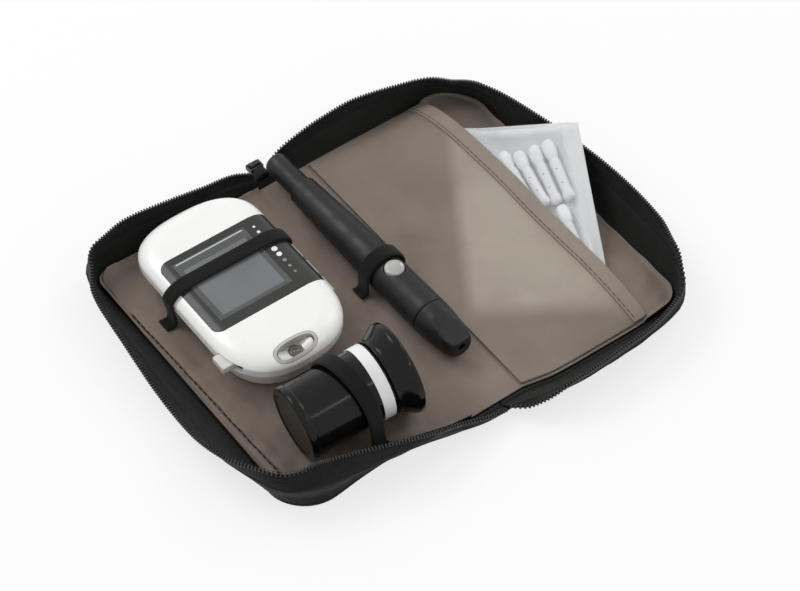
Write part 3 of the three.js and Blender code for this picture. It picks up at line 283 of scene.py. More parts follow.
# Painted sheen: the pocket is painted paler where it stands away from the case.
painted_sheen_share = POCKET_TAUPE.times(POCKET_TAUPE.beyond((0.853, -0.52), (56.4, 39.9), 3.5),
                                POCKET_TAUPE.beyond((0.596, 0.803), (15.6, -27), 5.0))
shaded_cloth = POCKET_TAUPE.shader.inputs["Base Color"].links[0].from_socket
# The paler taupe is a painted sheen, not a tone of the cloth.
painted_sheen_taupe = POCKET_TAUPE.mix(POCKET_TAUPE.noise(30, 2), (150, 139, 127), (167, 157, 145))
POCKET_TAUPE.colours(painted_sheen_share, shaded_cloth, painted_sheen_taupe)

TEETH_BLACK = Finish("teeth_black", (22, 22, 22), 0.35)
TEETH_BLACK.colours(TEETH_BLACK.noise(3), (18, 18, 18), (36, 36, 36))
TEETH_BLACK.roughness(TEETH_BLACK.noise(1), 0.28, 0.5)
BOARD_GREY = Finish("board_grey", (76, 76, 76), 0.9)
BOARD_GREY.colours(BOARD_GREY.noise(0.6), (70, 70, 68), (92, 92, 90))
ELASTIC_BLACK = Finish("elastic_black", (24, 24, 23), 0.9, level=0.1, Sheen_Weight=0.08)
ELASTIC_BLACK.colours(ELASTIC_BLACK.waves(0.8, "Y"), (21, 21, 20), (29, 29, 28))
ELASTIC_BLACK.bump(ELASTIC_BLACK.plus(ELASTIC_BLACK.waves(0.8, "Y"), ELASTIC_BLACK.waves(0.5, "X")), 0.07)
DARK_METAL = Finish("dark_metal", (58, 58, 60), 0.35, Metallic=0.9)
DARK_METAL.colours(DARK_METAL.noise(2), (48, 48, 50), (72, 72, 74))
DARK_METAL.roughness(DARK_METAL.noise(0.7, stretch=(1, 1, 6)), 0.28, 0.48)
DOT_GREY = Finish("port_grey", (140, 138, 134), 0.5, title="dot_grey")
DOT_GREY.colours(DOT_GREY.noise(0.5), (126, 124, 120), (168, 166, 162))

WHITE_PLASTIC = plastic("white_plastic", (241, 241, 240), (244, 244, 243), 0.3, depth=0.0006,
                        Coat_Weight=0.25)
EJECTOR_GREY = plastic("white_plastic", (204, 201, 195), (216, 213, 207), 0.4, title="ejector_grey")
PORT_GREY = plastic("port_grey", (176, 172, 164), (196, 193, 187), 0.3)
PORT_CLEAR = plastic("port_grey", (190, 187, 181), (222, 220, 216), 0.14, title="port_clear", Coat_Weight=0.5)
PORT_DARK = plastic("port_grey", (70, 62, 56), (104, 96, 89), 0.15, title="port_dark", Coat_Weight=0.4)
LAMP_DIM = plastic("port_grey", (124, 114, 100), (140, 130, 115), 0.3, title="lamp_dim")
LAMP_WHITE = plastic("label_white", (228, 230, 230), (240, 241, 241), 0.3, title="lamp_white")
LABEL_WHITE = plastic("label_white", (226, 226, 226), (238, 238, 238), 0.4)
SCREEN_GREY = plastic("window_grey", (104, 108, 110), (118, 122, 124), 0.3, title="screen_grey")
PANEL_BLACK = plastic("panel_black", (52, 52, 51), (57, 57, 56), 0.16, level=0.25, depth=0.001)
CIRCUIT_GREEN = plastic("circuit_green", (24, 84, 48), (34, 100, 58), 0.5)
PEN_GREY = plastic("pen_grey", (26, 26, 26), (32, 32, 32), 0.42, level=0.28, depth=0.006, grain=0.6)
RELEASE_GREY = plastic("release_grey", (150, 150, 147), (206, 206, 202), 0.12, Coat_Weight=0.6)
HOLDER_WHITE = plastic("holder_white", (225, 225, 223), (235, 235, 233), 0.45)
LANCET_WHITE = plastic("lancet_white", (242, 243, 244), (248, 249, 250), 0.42)
STEEL = plastic("steel", (184, 186, 188), (200, 202, 204), 0.3, Metallic=1.0)
VIAL_BLACK = plastic("vial_black", (13, 13, 12), (18, 18, 17), 0.16, level=0.2, grain=6, depth=0.02)
LINER_WHITE = plastic("liner_white", (200, 199, 195), (214, 213, 209), 0.7)

# ---------------------------------------------------------------- numbers and lines
def lerp(a, b, t):
    return a + (b - a) * t


def clamp(value, low=0, high=1):
    return min(max(value, low), high)


def smoothstep(value, low=0.0, high=1.0):
    t = clamp((value - low) / (high - low))
    return t * t * (3 - 2 * t)


def spread(low, high, steps):
    """Even places from low to high, with both ends."""
    return [lerp(low, high, k / steps) for k in range(steps + 1)]


def around(count):
    """Even angles over a full turn."""
    return [2 * pi * k / count for k in range(count)]


def squared(value, power):
    """Brings a sine or cosine nearer to 1 or -1, to square a circle off."""
    return copysign(abs(value) ** power, value)


def oval(turn, power, a, b):
    """A place on a squared-off oval of half width a and half height b."""
    return a * squared(cos(turn), power), b * squared(sin(turn), power)


def arc(x, y, radius, start, end, steps):
    return [Vector((x + radius * cos(turn), y + radius * sin(turn))) for turn in spread(start, end, steps)]


def circle(at, side, up, radius, count):
    return [at + radius * (side * cos(turn) + up * sin(turn)) for turn in around(count)]


def moved(x, y, z):
    return Matrix.Translation((x, y, z))


def turned(degrees, axis):
    return Matrix.Rotation(radians(degrees), 4, axis)


def wrinkle(x, y, size, seed):
    return noise.noise(Vector((x / size, y / size, seed)))


def between(rows, place, column):
    """A smooth value between the rows of a table, whose first column is the place."""
    i = 0
    while i < len(rows) - 2 and rows[i + 1][0] < place:
        i += 1

    def slope(k):
        low, high = rows[max(k - 1, 0)], rows[min(k + 1, len(rows) - 1)]
        return (high[column] - low[column]) / (high[0] - low[0])

    span = rows[i + 1][0] - rows[i][0]
    t = clamp((place - rows[i][0]) / span)
    t2, t3 = t * t, t * t * t
    return ((2 * t3 - 3 * t2 + 1) * rows[i][column] + (t3 - 2 * t2 + t) * span * slope(i)
            + (3 * t2 - 2 * t3) * rows[i + 1][column] + (t3 - t2) * span * slope(i + 1))


def curve_through(rows, steps):
    """A smooth line through 2-D points."""
    out = []
    for i in range(len(rows) - 1):
        p0, p1, p2, p3 = (Vector(rows[clamp(i + k, 0, len(rows) - 1)]) for k in (-1, 0, 1, 2))
        for t in spread(0, 1, steps)[:-1]:
            out.append(0.5 * ((2 * p1) + (p2 - p0) * t + (2 * p0 - 5 * p1 + 4 * p2 - p3) * t * t
                              + (3 * p1 - p0 - 3 * p2 + p3) * t ** 3))
    return out + [Vector(rows[-1])]


def filleted(profile, radius, steps=4, closed=False):
    """Rounds the inner corners of a line of 2-D points. closed brings it back to its start."""
    out = [Vector(profile[0])]
    for before, at, after in zip(profile, profile[1:], profile[2:]):
        before, at, after = Vector(before), Vector(at), Vector(after)
        reach = min(radius, (at - before).length / 2, (after - at).length / 2)
        start, end = at + (before - at).normalized() * reach, at + (after - at).normalized() * reach
        out += [(1 - t) ** 2 * start + 2 * t * (1 - t) * at + t * t * end for t in spread(0, 1, steps)]
    return out + [Vector(profile[-1])] + [Vector(profile[0])] * closed


def ahead_at(path, i):
    return (path[min(i + 1, len(path) - 1)] - path[max(i - 1, 0)]).normalized()


# ---------------------------------------------------------------- mesh tools
def edited(mesh, *edits):
    bm = bmesh.new()
    bm.from_mesh(mesh)
    for edit in edits:
        edit(bm)
    bm.to_mesh(mesh)
    bm.free()


def outward(bm):
    bmesh.ops.recalc_face_normals(bm, faces=bm.faces)


def welded(bm, distance=1e-7):
    bmesh.ops.remove_doubles(bm, verts=bm.verts, dist=distance)


def simplified(bm):
    """Welds a CAD mesh and joins the triangles of its flat faces."""
    welded(bm, 1e-6)
    bmesh.ops.dissolve_limit(bm, angle_limit=radians(1), verts=bm.verts, edges=bm.edges)


def shaded(mesh, finish, sharp):
    """One finish all over, smooth but for edges over sharp degrees."""
    mesh.materials.clear()
    mesh.materials.append(finish.material)
    mesh.polygons.foreach_set("use_smooth", [True] * len(mesh.polygons))
    if sharp:
        mesh.set_sharp_from_angle(angle=radians(sharp))


def seated(piece, body, finish, stands_for=()):
    """The piece rides on a body, in place of the named CAD nodes."""
    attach(piece, body)
    if stands_for:
        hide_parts(*stands_for)
    return piece


def build(name, body, finish, points, faces, uvs=None, stands_for=(), sharp=None):
    """A mesh from points in millimetres. Without a body it is a tool for another piece."""
    mesh = bpy.data.meshes.new(name)
    mesh.from_pydata([[c * MM for c in p] for p in points], [], faces)
    if uvs:
        layer = mesh.uv_layers.new(name="UVMap")
        for loop in mesh.loops:
            layer.data[loop.index].uv = [c * MM for c in uvs[loop.vertex_index]]
    edited(mesh, outward)
    shaded(mesh, finish, sharp)
    piece = added(name, mesh)
    return seated(piece, body, finish, stands_for) if body else piece


def bevel(piece, width, angle):
    modifier = piece.modifiers.new("edges", "BEVEL")
    modifier.width = width * MM
    modifier.segments = 2
    modifier.limit_method = "ANGLE"
    modifier.angle_limit = radians(angle)
    modifier.use_clamp_overlap = True
    piece.modifiers.new("normals", "WEIGHTED_NORMAL").keep_sharp = True


def carve(piece, operation, *tools):
    for tool in tools:
        modifier = piece.modifiers.new("carve", "BOOLEAN")
        modifier.operation = operation
        modifier.solver = "EXACT"
        modifier.object = tool
        evaluated = piece.evaluated_get(bpy.context.evaluated_depsgraph_get())
        mesh, old = bpy.data.meshes.new_from_object(evaluated), piece.data
        piece.modifiers.clear()
        piece.data = mesh
        bpy.data.meshes.remove(old)


def discard(*pieces):
    for piece in pieces:
        bpy.data.objects.remove(piece, do_unlink=True)


def bands(base, count, rings, capped=False):
    """Faces between rings of equal count, whose points start at base."""
    faces = []
    for a in range(base, base + (rings - 1) * count, count):
        for i in range(count):
            j = (i + 1) % count
            faces.append((a + i, a + j, a + count + j, a + count + i))
    if capped:
        for a in (base, base + (rings - 1) * count):
            faces.append(tuple(range(a, a + count)))
    return faces


def slab_faces(columns, rows):
    """Faces of a closed slab over a grid of columns by rows points, lower side first."""
    upper = columns * rows
    faces = []
    for i in range(columns - 1):
        for j in range(rows - 1):
            a = i * rows + j
            b = upper + a
            faces += [(a, a + rows, a + rows + 1, a + 1), (b, b + 1, b + rows + 1, b + rows)]
    for j in range(rows - 1):
        for a in (j, (columns - 1) * rows + j):
            faces.append((a, a + 1, a + 1 + upper, a + upper))
    for i in range(columns - 1):
        for a in (i * rows, i * rows + rows - 1):
            faces.append((a, a + rows, a + rows + upper, a + upper))
    return faces


def slab(name, body, finish, columns, rows, place, stands_for=(), flat=None, soften=0.25):
    """place(i, j, level) gives a point, and flat(i, j) the cloth's own coordinates."""
    flat = flat or (lambda i, j: place(i, j, 0)[:2])
    spots = [(i, j) for i in range(columns) for j in range(rows)]
    points = [place(i, j, level) for level in (0, 1) for i, j in spots]
    uvs = [flat(i, j) for i, j in spots] * 2
    piece = build(name, body, finish, points, slab_faces(columns, rows), uvs, stands_for, sharp=60)
    if soften:
        bevel(piece, soften, 60)
    return piece


def loft(name, body, finish, rings, stands_for=(), sharp=40, uvs=None):
    """A closed skin over rings of equal count."""
    faces = bands(0, len(rings[0]), len(rings), True)
    return build(name, body, finish, [p for ring in rings for p in ring], faces, uvs, stands_for, sharp)


def lathe(name, body, finish, profile, sides, matrix, stands_for=(), shape=None):
    """A turned piece about its own Y, from points of radius and place along."""
    points, faces, rings, uvs = [], [], [], []
    along = 0
    before = profile[0]
    for row in profile:
        along += (Vector(row) - Vector(before)).length
        before = row
        radius, y = row
        count = 1 if radius < 1e-6 else sides
        rings.append((len(points), count))
        for turn in around(sides)[:count]:
            local = Vector((radius * sin(turn), y, radius * cos(turn)))
            points.append(matrix @ (shape(local) if shape else local))
            uvs.append((turn * max(radius, 1), along))
    for (a, na), (b, nb) in zip(rings, rings[1:]):
        for k in range(sides):
            j = (k + 1) % sides
            if na == 1 and nb > 1:
                faces.append((a, b + j, b + k))
            elif na > 1 and nb == 1:
                faces.append((a + k, a + j, b))
            elif na > 1:
                faces.append((a + k, a + j, b + j, b + k))
    piece = build(name, body, finish, points, faces, uvs, stands_for)
    if (Vector(profile[0]) - Vector(profile[-1])).length < 1e-6:
        edited(piece.data, welded, outward)
    piece.data.set_sharp_from_angle(angle=radians(50))
    return piece


def replica(node, name):
    """A copy of a CAD node as a new object in its place."""
    piece = added(name, nodes[node].data.copy())
    piece.matrix_world = nodes[node].matrix_world.copy()
    return piece


def dressed(node, body, finish, width, sharp=30):
    """A copy of a CAD node with its edges eased, shown in the node's place."""
    piece = replica(node, node + "_dressed")
    edited(piece.data, simplified)
    shaded(piece.data, finish, sharp)
    seated(piece, body, finish, [node])
    bevel(piece, width, sharp)


def keep(finish, *names):
    """Carried-over CAD nodes that only get a better material."""
    for name in names:
        for slot in nodes[name].material_slots:
            slot.material = finish.material


# ---------------------------------------------------------------- the case's two halves
SPINE_HALF_X, HALF_X, HALF_Y = 10, 77, 61
FLOOR_TOP, COVER_T, LINING_T, LINING_INSET = 2.6, 0.8, 0.6, 0.2
BOARD_INSET, BOARD_Z, BOARD_T = 1.4, 1.1, 0.6
WALL_T, WALL_REACH, WALL_HEIGHT, WALL_BELLY, WALL_SHARE = 1.6, 16, 18.6, 3.2, 0.6
BAND_PITCH, BAND_STEPS, TAPE_T, TAPE_OVERLAP = 1.6, 12, 0.8, 3
TEETH_H, TEETH_T, TOOTH_PITCH, TOOTH_SQUARED = 1.3, 1.7, 1.05, 0.65
WELT_R, WELT_Z, WELT_STEPS = 1.15, 1.25, 170
# the wall's soft and small dents: rows up the wall, size
DENTS = ((26, 26), (40, 8))
SLIT_FROM, SLIT_TO, SLIT_X, SLIT_LEAN = 39.6, -52.0, 75.4, 2.4 / 79.6
SEAM_LIFT, SEAM_ROUND, PUCKER_REACH, SLIT_LIFT, SLIT_REACH, PRESSED_H = 0.9, 1.6, 9, 0.95, 7, 0.22
POCKET_COVERS_X, COVERED_SHARE = 60, 0.15
# the boxes, in x out from the fold and in y, where the meter, the vial and the pen press the lining flat
PRESSED = ((20, 67, -18, 60), (20, 63, -55, -21), (0, 12, -45, 60))


def slit_x(y):
    """The line of the left lining's seam, out from the fold."""
    return SLIT_X - SLIT_LEAN * (SLIT_FROM - y)


class Half(SimpleNamespace):
    """One half of the case: its floor sheets, and the wall, which stands on the floor edge.

    rim rows: share of the edge's length, the wall top's lean and its height.
    drawn rows: place out from the fold, how far the soft front edge is drawn in."""

    def __init__(self, **form):
        super().__init__(**form)
        back_x, front_x = HALF_X - self.back_r, HALF_X - self.front_r
        self.back_y, self.front_y = HALF_Y - self.back_r, self.front_r - HALF_Y

        def corner(x, y, radius, start):
            def place(d):
                out_x, out_y = cos(start - d / radius), sin(start - d / radius)
                return x + radius * out_x, y + radius * out_y, out_x, out_y
            return radius * pi / 2, place

        self.runs = [
            (back_x - self.back_end, lambda d: (self.back_end + d, HALF_Y, 0, 1)),
            corner(back_x, self.back_y, self.back_r, pi / 2),
            (self.back_y - self.front_y, lambda d: (HALF_X, self.back_y - d, 1, 0)),
            corner(front_x, self.front_y, self.front_r, 0),
            (front_x - self.front_end, lambda d: (front_x - d, -HALF_Y, 0, -1)),
        ]
        self.total = sum(length for length, _ in self.runs)

    def edge(self, distance):
        """A point of the floor edge and the way out from it, from the fold's back end round."""
        distance = min(distance, self.total - 1e-6)
        for length, place in self.runs:
            if distance <= length:
                break
            distance -= length
        return place(min(distance, length))

    def settled(self, x, y, z):
        """The place of a point of the soft pieces, once the front edge is drawn in."""
        held = smoothstep(-y, 30, 58) * (1 - smoothstep(z, 4, 13))
        drawn = between(self.drawn, min(abs(x), HALF_X), 1) if held else 0
        return Vector((x, y + drawn * held, z))

    def line(self, distance):
        x, y, ox, oy = self.edge(distance)
        share = distance / self.total
        top = Vector((WALL_REACH * between(self.rim, share, 1), WALL_HEIGHT * between(self.rim, share, 2)))
        foot = Vector((GAP + WALL_T / 2, WALL_T / 2))
        rise = top - foot
        belly = WALL_BELLY * top.y / WALL_HEIGHT
        middle = foot.lerp(top, 0.5) + Vector((rise.y, -rise.x)).normalized() * belly
        return (x, y, ox, oy), foot, middle, top

    def point(self, distance, t, off=0.0):
        """At t up the wall's middle line, and off it on its outer side."""
        (x, y, ox, oy), foot, middle, top = self.line(distance)
        at = (1 - t) ** 2 * foot + 2 * t * (1 - t) * middle + t * t * top
        along = (2 * (1 - t) * (middle - foot) + 2 * t * (top - middle)).normalized()
        at = at + Vector((along.y, -along.x)) * (off + self.dent(distance, t))
        return self.settled(self.side * (x + ox * at.x), y + oy * at.x, at.y)

    def length(self, distance):
        _, foot, middle, top = self.line(distance)
        return (middle - foot).length * 0.5 + (top - middle).length * 0.5 + (top - foot).length * 0.02

    def dent(self, distance, t):
        """Soft dents of the wall's cloth, none at its seams."""
        soft, small = (wrinkle(distance, t * rows, size, self.wall_seed) for rows, size in DENTS)
        return sin(pi * clamp(t)) * (0.7 * soft + 0.3 * small)

    def band(self, name, finish, start, end, thickness, stands_for):
        """A closed band between two places up the wall, which start(length) and end(length) give."""
        half_t, rings, uvs = thickness / 2, [], []
        for distance in spread(0, self.total, round(self.total / BAND_PITCH)):
            length = self.length(distance)
            low, high = start(length) / length, end(length) / length
            ring = [(t, half_t) for t in spread(low, high, BAND_STEPS)]
            ring += [(high + half_t * sin(turn) / length, half_t * cos(turn))
                     for turn in spread(0, pi, 6)[1:-1]]
            ring += [(t, -half_t) for t in spread(high, low, BAND_STEPS)]
            rings.append([self.point(distance, t, off) for t, off in ring])
            uvs += [(distance, t * length if off >= 0 else 60 - t * length) for t, off in ring]
        loft(self.name + name, self.body, finish, rings, [self.name + stands_for], 60, uvs)

    def coil(self):
        """The zip's coil, one rounded tooth after another."""
        points, faces = [], []
        count = round(self.total / TOOTH_PITCH)
        for k in range(count):
            distance = self.total * (k + 0.5) / count
            t = 1 - TEETH_H / 2 / self.length(distance)
            here = self.point(distance, t)
            up = (self.point(distance, min(t + 0.05, 1)) - self.point(distance, t - 0.05)).normalized()
            ahead = self.point(min(distance + 0.5, self.total), t) - self.point(max(distance - 0.5, 0), t)
            ahead = (ahead - up * ahead.dot(up)).normalized()
            across = up.cross(ahead) * TEETH_T * 0.46
            ahead, up = ahead * TOOTH_PITCH * 0.33, up * TEETH_H * 0.5
            faces += bands(len(points), 8, 6)
            for polar in spread(0, pi, 5):
                high, wide = oval(polar, TOOTH_SQUARED, 1, 1)
                for turn in around(8):
                    u, w = oval(turn, TOOTH_SQUARED, wide, wide)
                    points.append(here + ahead * u + up * high + across * w)
        build(self.name + "_zip_coil", self.body, TEETH_BLACK, points, faces,
              stands_for=[self.name + "_zip_teeth"])

    def welt(self):
        """A round cord along the foot of the wall."""
        path = [self.point(distance, 0.0) for distance in spread(0, self.total, WELT_STEPS)]
        path = [Vector((p.x, p.y, WELT_Z)) for p in path]
        rings = []
        for i, at in enumerate(path):
            side = ahead_at(path, i).cross(UP).normalized()
            up = side.cross(ahead_at(path, i))
            rings.append(circle(at, side, up, WELT_R, 10))
        loft(self.name + "_welt", self.body, CLOTH_BLACK, rings, sharp=70)

    def reach(self, y, inset):
        """How far out a floor sheet reaches at y, drawn in from the floor edge."""
        radius = self.back_r if y > 0 else self.front_r
        past = abs(y) - (HALF_Y - radius)
        if past <= 0:
            return HALF_X - inset
        return HALF_X - radius + sqrt(max((radius - inset) ** 2 - past ** 2, 0))

    def floor_rows(self, inset, middle, ends):
        """Places along the fold, closer together in the corners."""
        turns = spread(0, pi / 2, ends)
        rows = [self.front_y - (self.front_r - inset) * cos(turn) for turn in turns[:-1]]
        rows += spread(self.front_y, self.back_y, middle)[:-1]
        rows += [self.back_y + (self.back_r - inset) * sin(turn) for turn in turns]
        rows[0], rows[-1] = inset - HALF_Y, HALF_Y - inset
        return rows

    def sheet(self, name, finish, inset, low, thick, stands_for):
        """A flat sheet of the floor."""
        rows, columns = self.floor_rows(inset, 30, 12), 24

        def spot(i, j):
            x = lerp(SPINE_HALF_X + GAP / 2, self.reach(rows[j], inset), i / (columns - 1))
            return self.side * x, rows[j]

        return slab(self.name + name, self.body, finish, columns, len(rows),
                    lambda i, j, level: self.settled(*spot(i, j), low + level * thick),
                    [self.name + stands_for], spot)

    def lining(self):
        """The lining: gently rumpled, drawn up at its sewn edges, and puckered along them."""
        left, seed = self.side < 0, self.lining_seed
        rows = self.floor_rows(LINING_INSET, 86, 14)
        inner, seam, outer = 70, 5, 8

        def across(i, y):
            reach = self.reach(y, LINING_INSET)
            fold = min(slit_x(y), reach - 1.5) if left else reach - 3.0
            if i <= inner:
                return lerp(SPINE_HALF_X + GAP / 2, fold, i / inner)
            if i <= inner + seam:
                return lerp(fold, fold + 0.5, (i - inner) / seam)
            return lerp(fold + 0.5, reach, (i - inner - seam) / outer)

        def rise(x, y):
            edge = min(self.reach(y, LINING_INSET) - x, HALF_Y - LINING_INSET - abs(y))
            pucker = self.pucker * smoothstep(PUCKER_REACH - edge, 0, PUCKER_REACH) * (
                0.35 + 0.45 * sin(y * 0.55 + 2 * wrinkle(x, y, 30, seed))
                + 0.4 * wrinkle(x * 0.35, y, 5, seed + 2))
            broad = 1.5 * max(wrinkle(x + 0.5 * y, y - 0.3 * x, 21, seed), 0)
            ridges = 1.6 * max(0.28 - abs(wrinkle(x, y, 17, seed + 5)), 0)
            sewn = SEAM_LIFT * smoothstep(SEAM_ROUND - edge, 0, SEAM_ROUND)
            return max(0.0, broad + ridges + pucker) + sewn

        def pressed(x, y):
            inside = [min(x - x0, x1 - x, y - y0, y1 - y) for x0, x1, y0, y1 in PRESSED]
            return smoothstep(max(inside) + 2, 0, 4)

        def place(i, j, level):
            y = rows[j]
            x = across(i, y)
            height = rise(x, y)
            if left:
                height = lerp(height, min(height, PRESSED_H), pressed(x, y))
                if i <= inner:
                    near = smoothstep(SLIT_REACH - (slit_x(y) - x), 0, SLIT_REACH)
                    near *= smoothstep(SLIT_FROM - y, -3, 3) * smoothstep(y - SLIT_TO, 0, 6)
                    height += SLIT_LIFT * near
                elif i > inner + 1:
                    rim = smoothstep(1.4 - (self.reach(y, LINING_INSET) - x), 0, 1.4)
                    height = min(height, 0.4) + SEAM_LIFT * rim
            elif x < POCKET_COVERS_X:
                height *= COVERED_SHARE
            return self.settled(self.side * x, y, FLOOR_TOP - LINING_T + level * LINING_T + height)

        return slab(self.name + "_lining_cloth", self.body, LINING_TAUPE, inner + seam + outer + 1, len(rows),
                    place, [self.name + "_lining"], lambda i, j: (across(i, rows[j]), rows[j]), soften=0.15)


LEFT = Half(
    name="left", body="case", side=-1, back_end=9.3, front_end=0, back_r=5, front_r=14, area=0.0079,
    wall_seed=7.7, lining_seed=11.3, pucker=1,
    drawn=[[0, 0], [10, 0], [18, 1.2], [28, 3.6], [40, 5.4], [52, 5.0], [62, 4.0], [77, 3.0]],
    rim=[
        [0, 0.28, 0.42], [0.03, 0.31, 0.61], [0.08, 0.22, 0.79], [0.14, 0.18, 0.97], [0.2, 0.24, 1],
        [0.26, 0.08, 0.95], [0.31, 0.51, 0.89], [0.37, 0.66, 0.83], [0.52, 0.84, 0.65],
        [0.62, 0.76, 0.9], [0.69, 0.12, 1.02], [0.73, -0.3, 1.05], [0.775, -0.2, 1.03], [0.86, 0.22, 0.93],
        [0.94, 0.28, 0.52], [0.98, 0.36, 0.36], [1, 0.35, 0.27],
    ])
RIGHT = Half(
    name="right", body="right_half", side=1, back_end=-1.6, front_end=1, back_r=15, front_r=8, area=0.0082,
    wall_seed=3.1, lining_seed=5.9, pucker=0.45,
    drawn=[[0, 0], [10, 0], [22, -2.2], [45, -2.8], [60, -2.8], [77, -1.5]],
    rim=[
        [0, 0.39, 0.33], [0.015, 0.41, 0.51], [0.045, 0.32, 0.76], [0.085, 0.28, 0.91],
        [0.135, 0.21, 1], [0.22, -0.02, 0.88], [0.28, -0.38, 0.86], [0.36, 0.02, 0.94],
        [0.42, 0.2, 1], [0.49, 0.46, 0.96], [0.575, 0.57, 0.95], [0.65, 0.49, 0.95],
        [0.695, 0.22, 0.99], [0.72, 0.16, 0.92], [0.745, 0.48, 0.79], [0.8, 0.8, 0.81],
        [0.85, 0.87, 0.78], [0.93, 0.91, 0.74], [0.98, 0.67, 0.36], [1, 0.31, 0.27],
    ])

for half in (LEFT, RIGHT):
    outside = half.sheet("_cover", CLOTH_BLACK, 0, 0, COVER_T, "_cover_panel")
    half.sheet("_board", BOARD_GREY, BOARD_INSET, BOARD_Z, BOARD_T, "_stiffener_board")
    cloth = half.lining()
    half.band("_wall_cloth", CLOTH_BLACK, lambda length: 0.1, lambda length: WALL_SHARE * length - 0.8,
              WALL_T, "_side_wall")
    half.band("_zip_cloth", TAPE_BLACK, lambda length: WALL_SHARE * length - TAPE_OVERLAP,
              lambda length: length - 1.0, TAPE_T, "_zip_tape")
    half.coil()
    half.welt()

# one stitch: place along it and thickness, as shares of its length and radius
STITCH_FORM = [(-0.5, 0.35), (-0.42, 0.8), (-0.2, 1), (0.2, 1), (0.42, 0.8), (0.5, 0.35)]


def stitches(name, body, finish, path, pitch, length, radius):
    """Short sewn stitches along a line of points, a little proud of the cloth."""
    points, faces = [], []
    travelled, target = 0.0, pitch / 2
    for a, b in zip(path, path[1:]):
        span = (b - a).length
        while target <= travelled + span and span > 0:
            at = a.lerp(b, (target - travelled) / span)
            ahead = (b - a).normalized()
            side = ahead.cross(UP).normalized()
            up = side.cross(ahead)
            faces += bands(len(points), 6, len(STITCH_FORM), True)
            for share, thick in STITCH_FORM:
                points += circle(at + ahead * length * share, side, up, radius * thick, 6)
            target += pitch
        travelled += span
    build(name, body, finish, points, faces)


# The dark brown stitches along the left lining's seam are partly real thread and partly a painted shadow line
# in the seam's gap.
slit_path = [LEFT.settled(-slit_x(y) - 0.1, y, FLOOR_TOP + 0.75) for y in spread(SLIT_FROM, SLIT_TO, 40)]
stitches("left_lining_seam", "case", THREAD_AND_SHADE_BROWN, slit_path, 2.7, 2.0, 0.32)

# ---------------------------------------------------------------- the fold
def strip(name, finish, half_y, low, thick, stands_for, lifted):
    """A strip over the fold, built as it lies while the case is open; nothing here bends it as the case
    closes. lifted is the size of its ripples.
    """
    columns, rows = 29, 60

    def place(i, j, level):
        x = lerp(-SPINE_HALF_X - 0.4, SPINE_HALF_X + 0.4, i / (columns - 1))
        y = lerp(-half_y, half_y, j / (rows - 1))
        height = lifted * max(0, wrinkle(x * 2.2, y, 13, 2.2) + 0.25)
        return (x, y, low + level * thick + height * smoothstep(SPINE_HALF_X - abs(x), 0, 4))

    piece = slab(name, None, finish, columns, rows, place, soften=0.15)
    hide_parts(stands_for)
    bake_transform(piece)
    return piece


strip("spine_cover", CLOTH_BLACK, HALF_Y, 0, COVER_T, "spine_strip", 0)
fold_lining = strip("spine_lining_cloth", LINING_TAUPE, HALF_Y - LINING_INSET, FLOOR_TOP - LINING_T, LINING_T,
                    "spine_lining", 0.2)

# ---------------------------------------------------------------- the zip's end
TAB_X, TAB_W, TAB_H, TAB_T, TAB_FRONT_Y, TAB_L = -5.6, 6, 5.9, 0.7, 63.8, 3.6


def tab_ring(inset, y):
    side, shoulder = TAB_W / 2 - inset, TAB_H - TAB_W / 2
    outline = [(-side, z) for z in spread(GAP, shoulder, 8)[:-1]]
    outline += arc(0, shoulder, side, pi, 0, 16)
    outline += [(side, z) for z in spread(shoulder, GAP, 8)[1:]]
    return [Vector((TAB_X + x, y, z)) for x, z in outline]


def tab():
    """A tab of doubled cloth, round at the top and with round edges."""
    edge_r = TAB_T / 2
    section = arc(edge_r, TAB_FRONT_Y + TAB_L - edge_r, edge_r, 0, pi, 6)
    section += arc(edge_r, TAB_FRONT_Y + edge_r, edge_r, pi, 2 * pi, 6)
    rings = list(zip(*[tab_ring(inset, y) for inset, y in section]))
    uvs = [(k * 0.8, i * 0.7) for k in range(len(rings)) for i in range(len(section))]
    loft("zip_end_tab", "case", CLOTH_BLACK, rings, ["back_end_tab"], uvs=uvs)


def gusset(name, left, right, start, end):
    """A scrap of cloth that closes the corner between the two walls at one end of the fold."""
    columns, rows = 16, 10

    def place(i, j, level):
        x, share = lerp(left, right, i / (columns - 1)), j / (rows - 1)
        return (x, lerp(start, end, share), 0.9 + 0.6 * level + 1.5 * share ** 2)

    slab(name, "case", CLOTH_BLACK, columns, rows, place, soften=0.15)


tab()
gusset("back_end_gusset", -9.6, -1.5, HALF_Y - 0.3, TAB_FRONT_Y + 0.1)
gusset("front_end_gusset", -3.5, 3.5, 0.3 - HALF_Y, -HALF_Y - 4.6)
dressed("zip_slider", "case", DARK_METAL, 0.12)
dressed("zip_pull", "zip_pull", DARK_METAL, 0.12)

# ---------------------------------------------------------------- the pocket
POCKET_SEAM_X, POCKET_MOUTH_X, POCKET_BACK_Y, POCKET_FRONT_Y = 10.6, 62.5, 59.9, -59.9
POCKET_T, POCKET_ROOM, POCKET_RISE, POCKET_FOLD, HEM_W, HEM_T = 0.7, 8.4, 1.6, 0.4, 5.6, 1.4
POCKET_STEPS = 119
# place across the pocket's mouth, share of POCKET_MOUTH_X
MOUTH = [[0, 0.95], [0.35, 0.96], [0.6, 0.955], [0.85, 0.965], [1, 0.985]]


def mouth_x(across):
    return POCKET_MOUTH_X * between(MOUTH, across, 1)


def pocket_y(across):
    return lerp(POCKET_BACK_Y, POCKET_FRONT_Y, across)


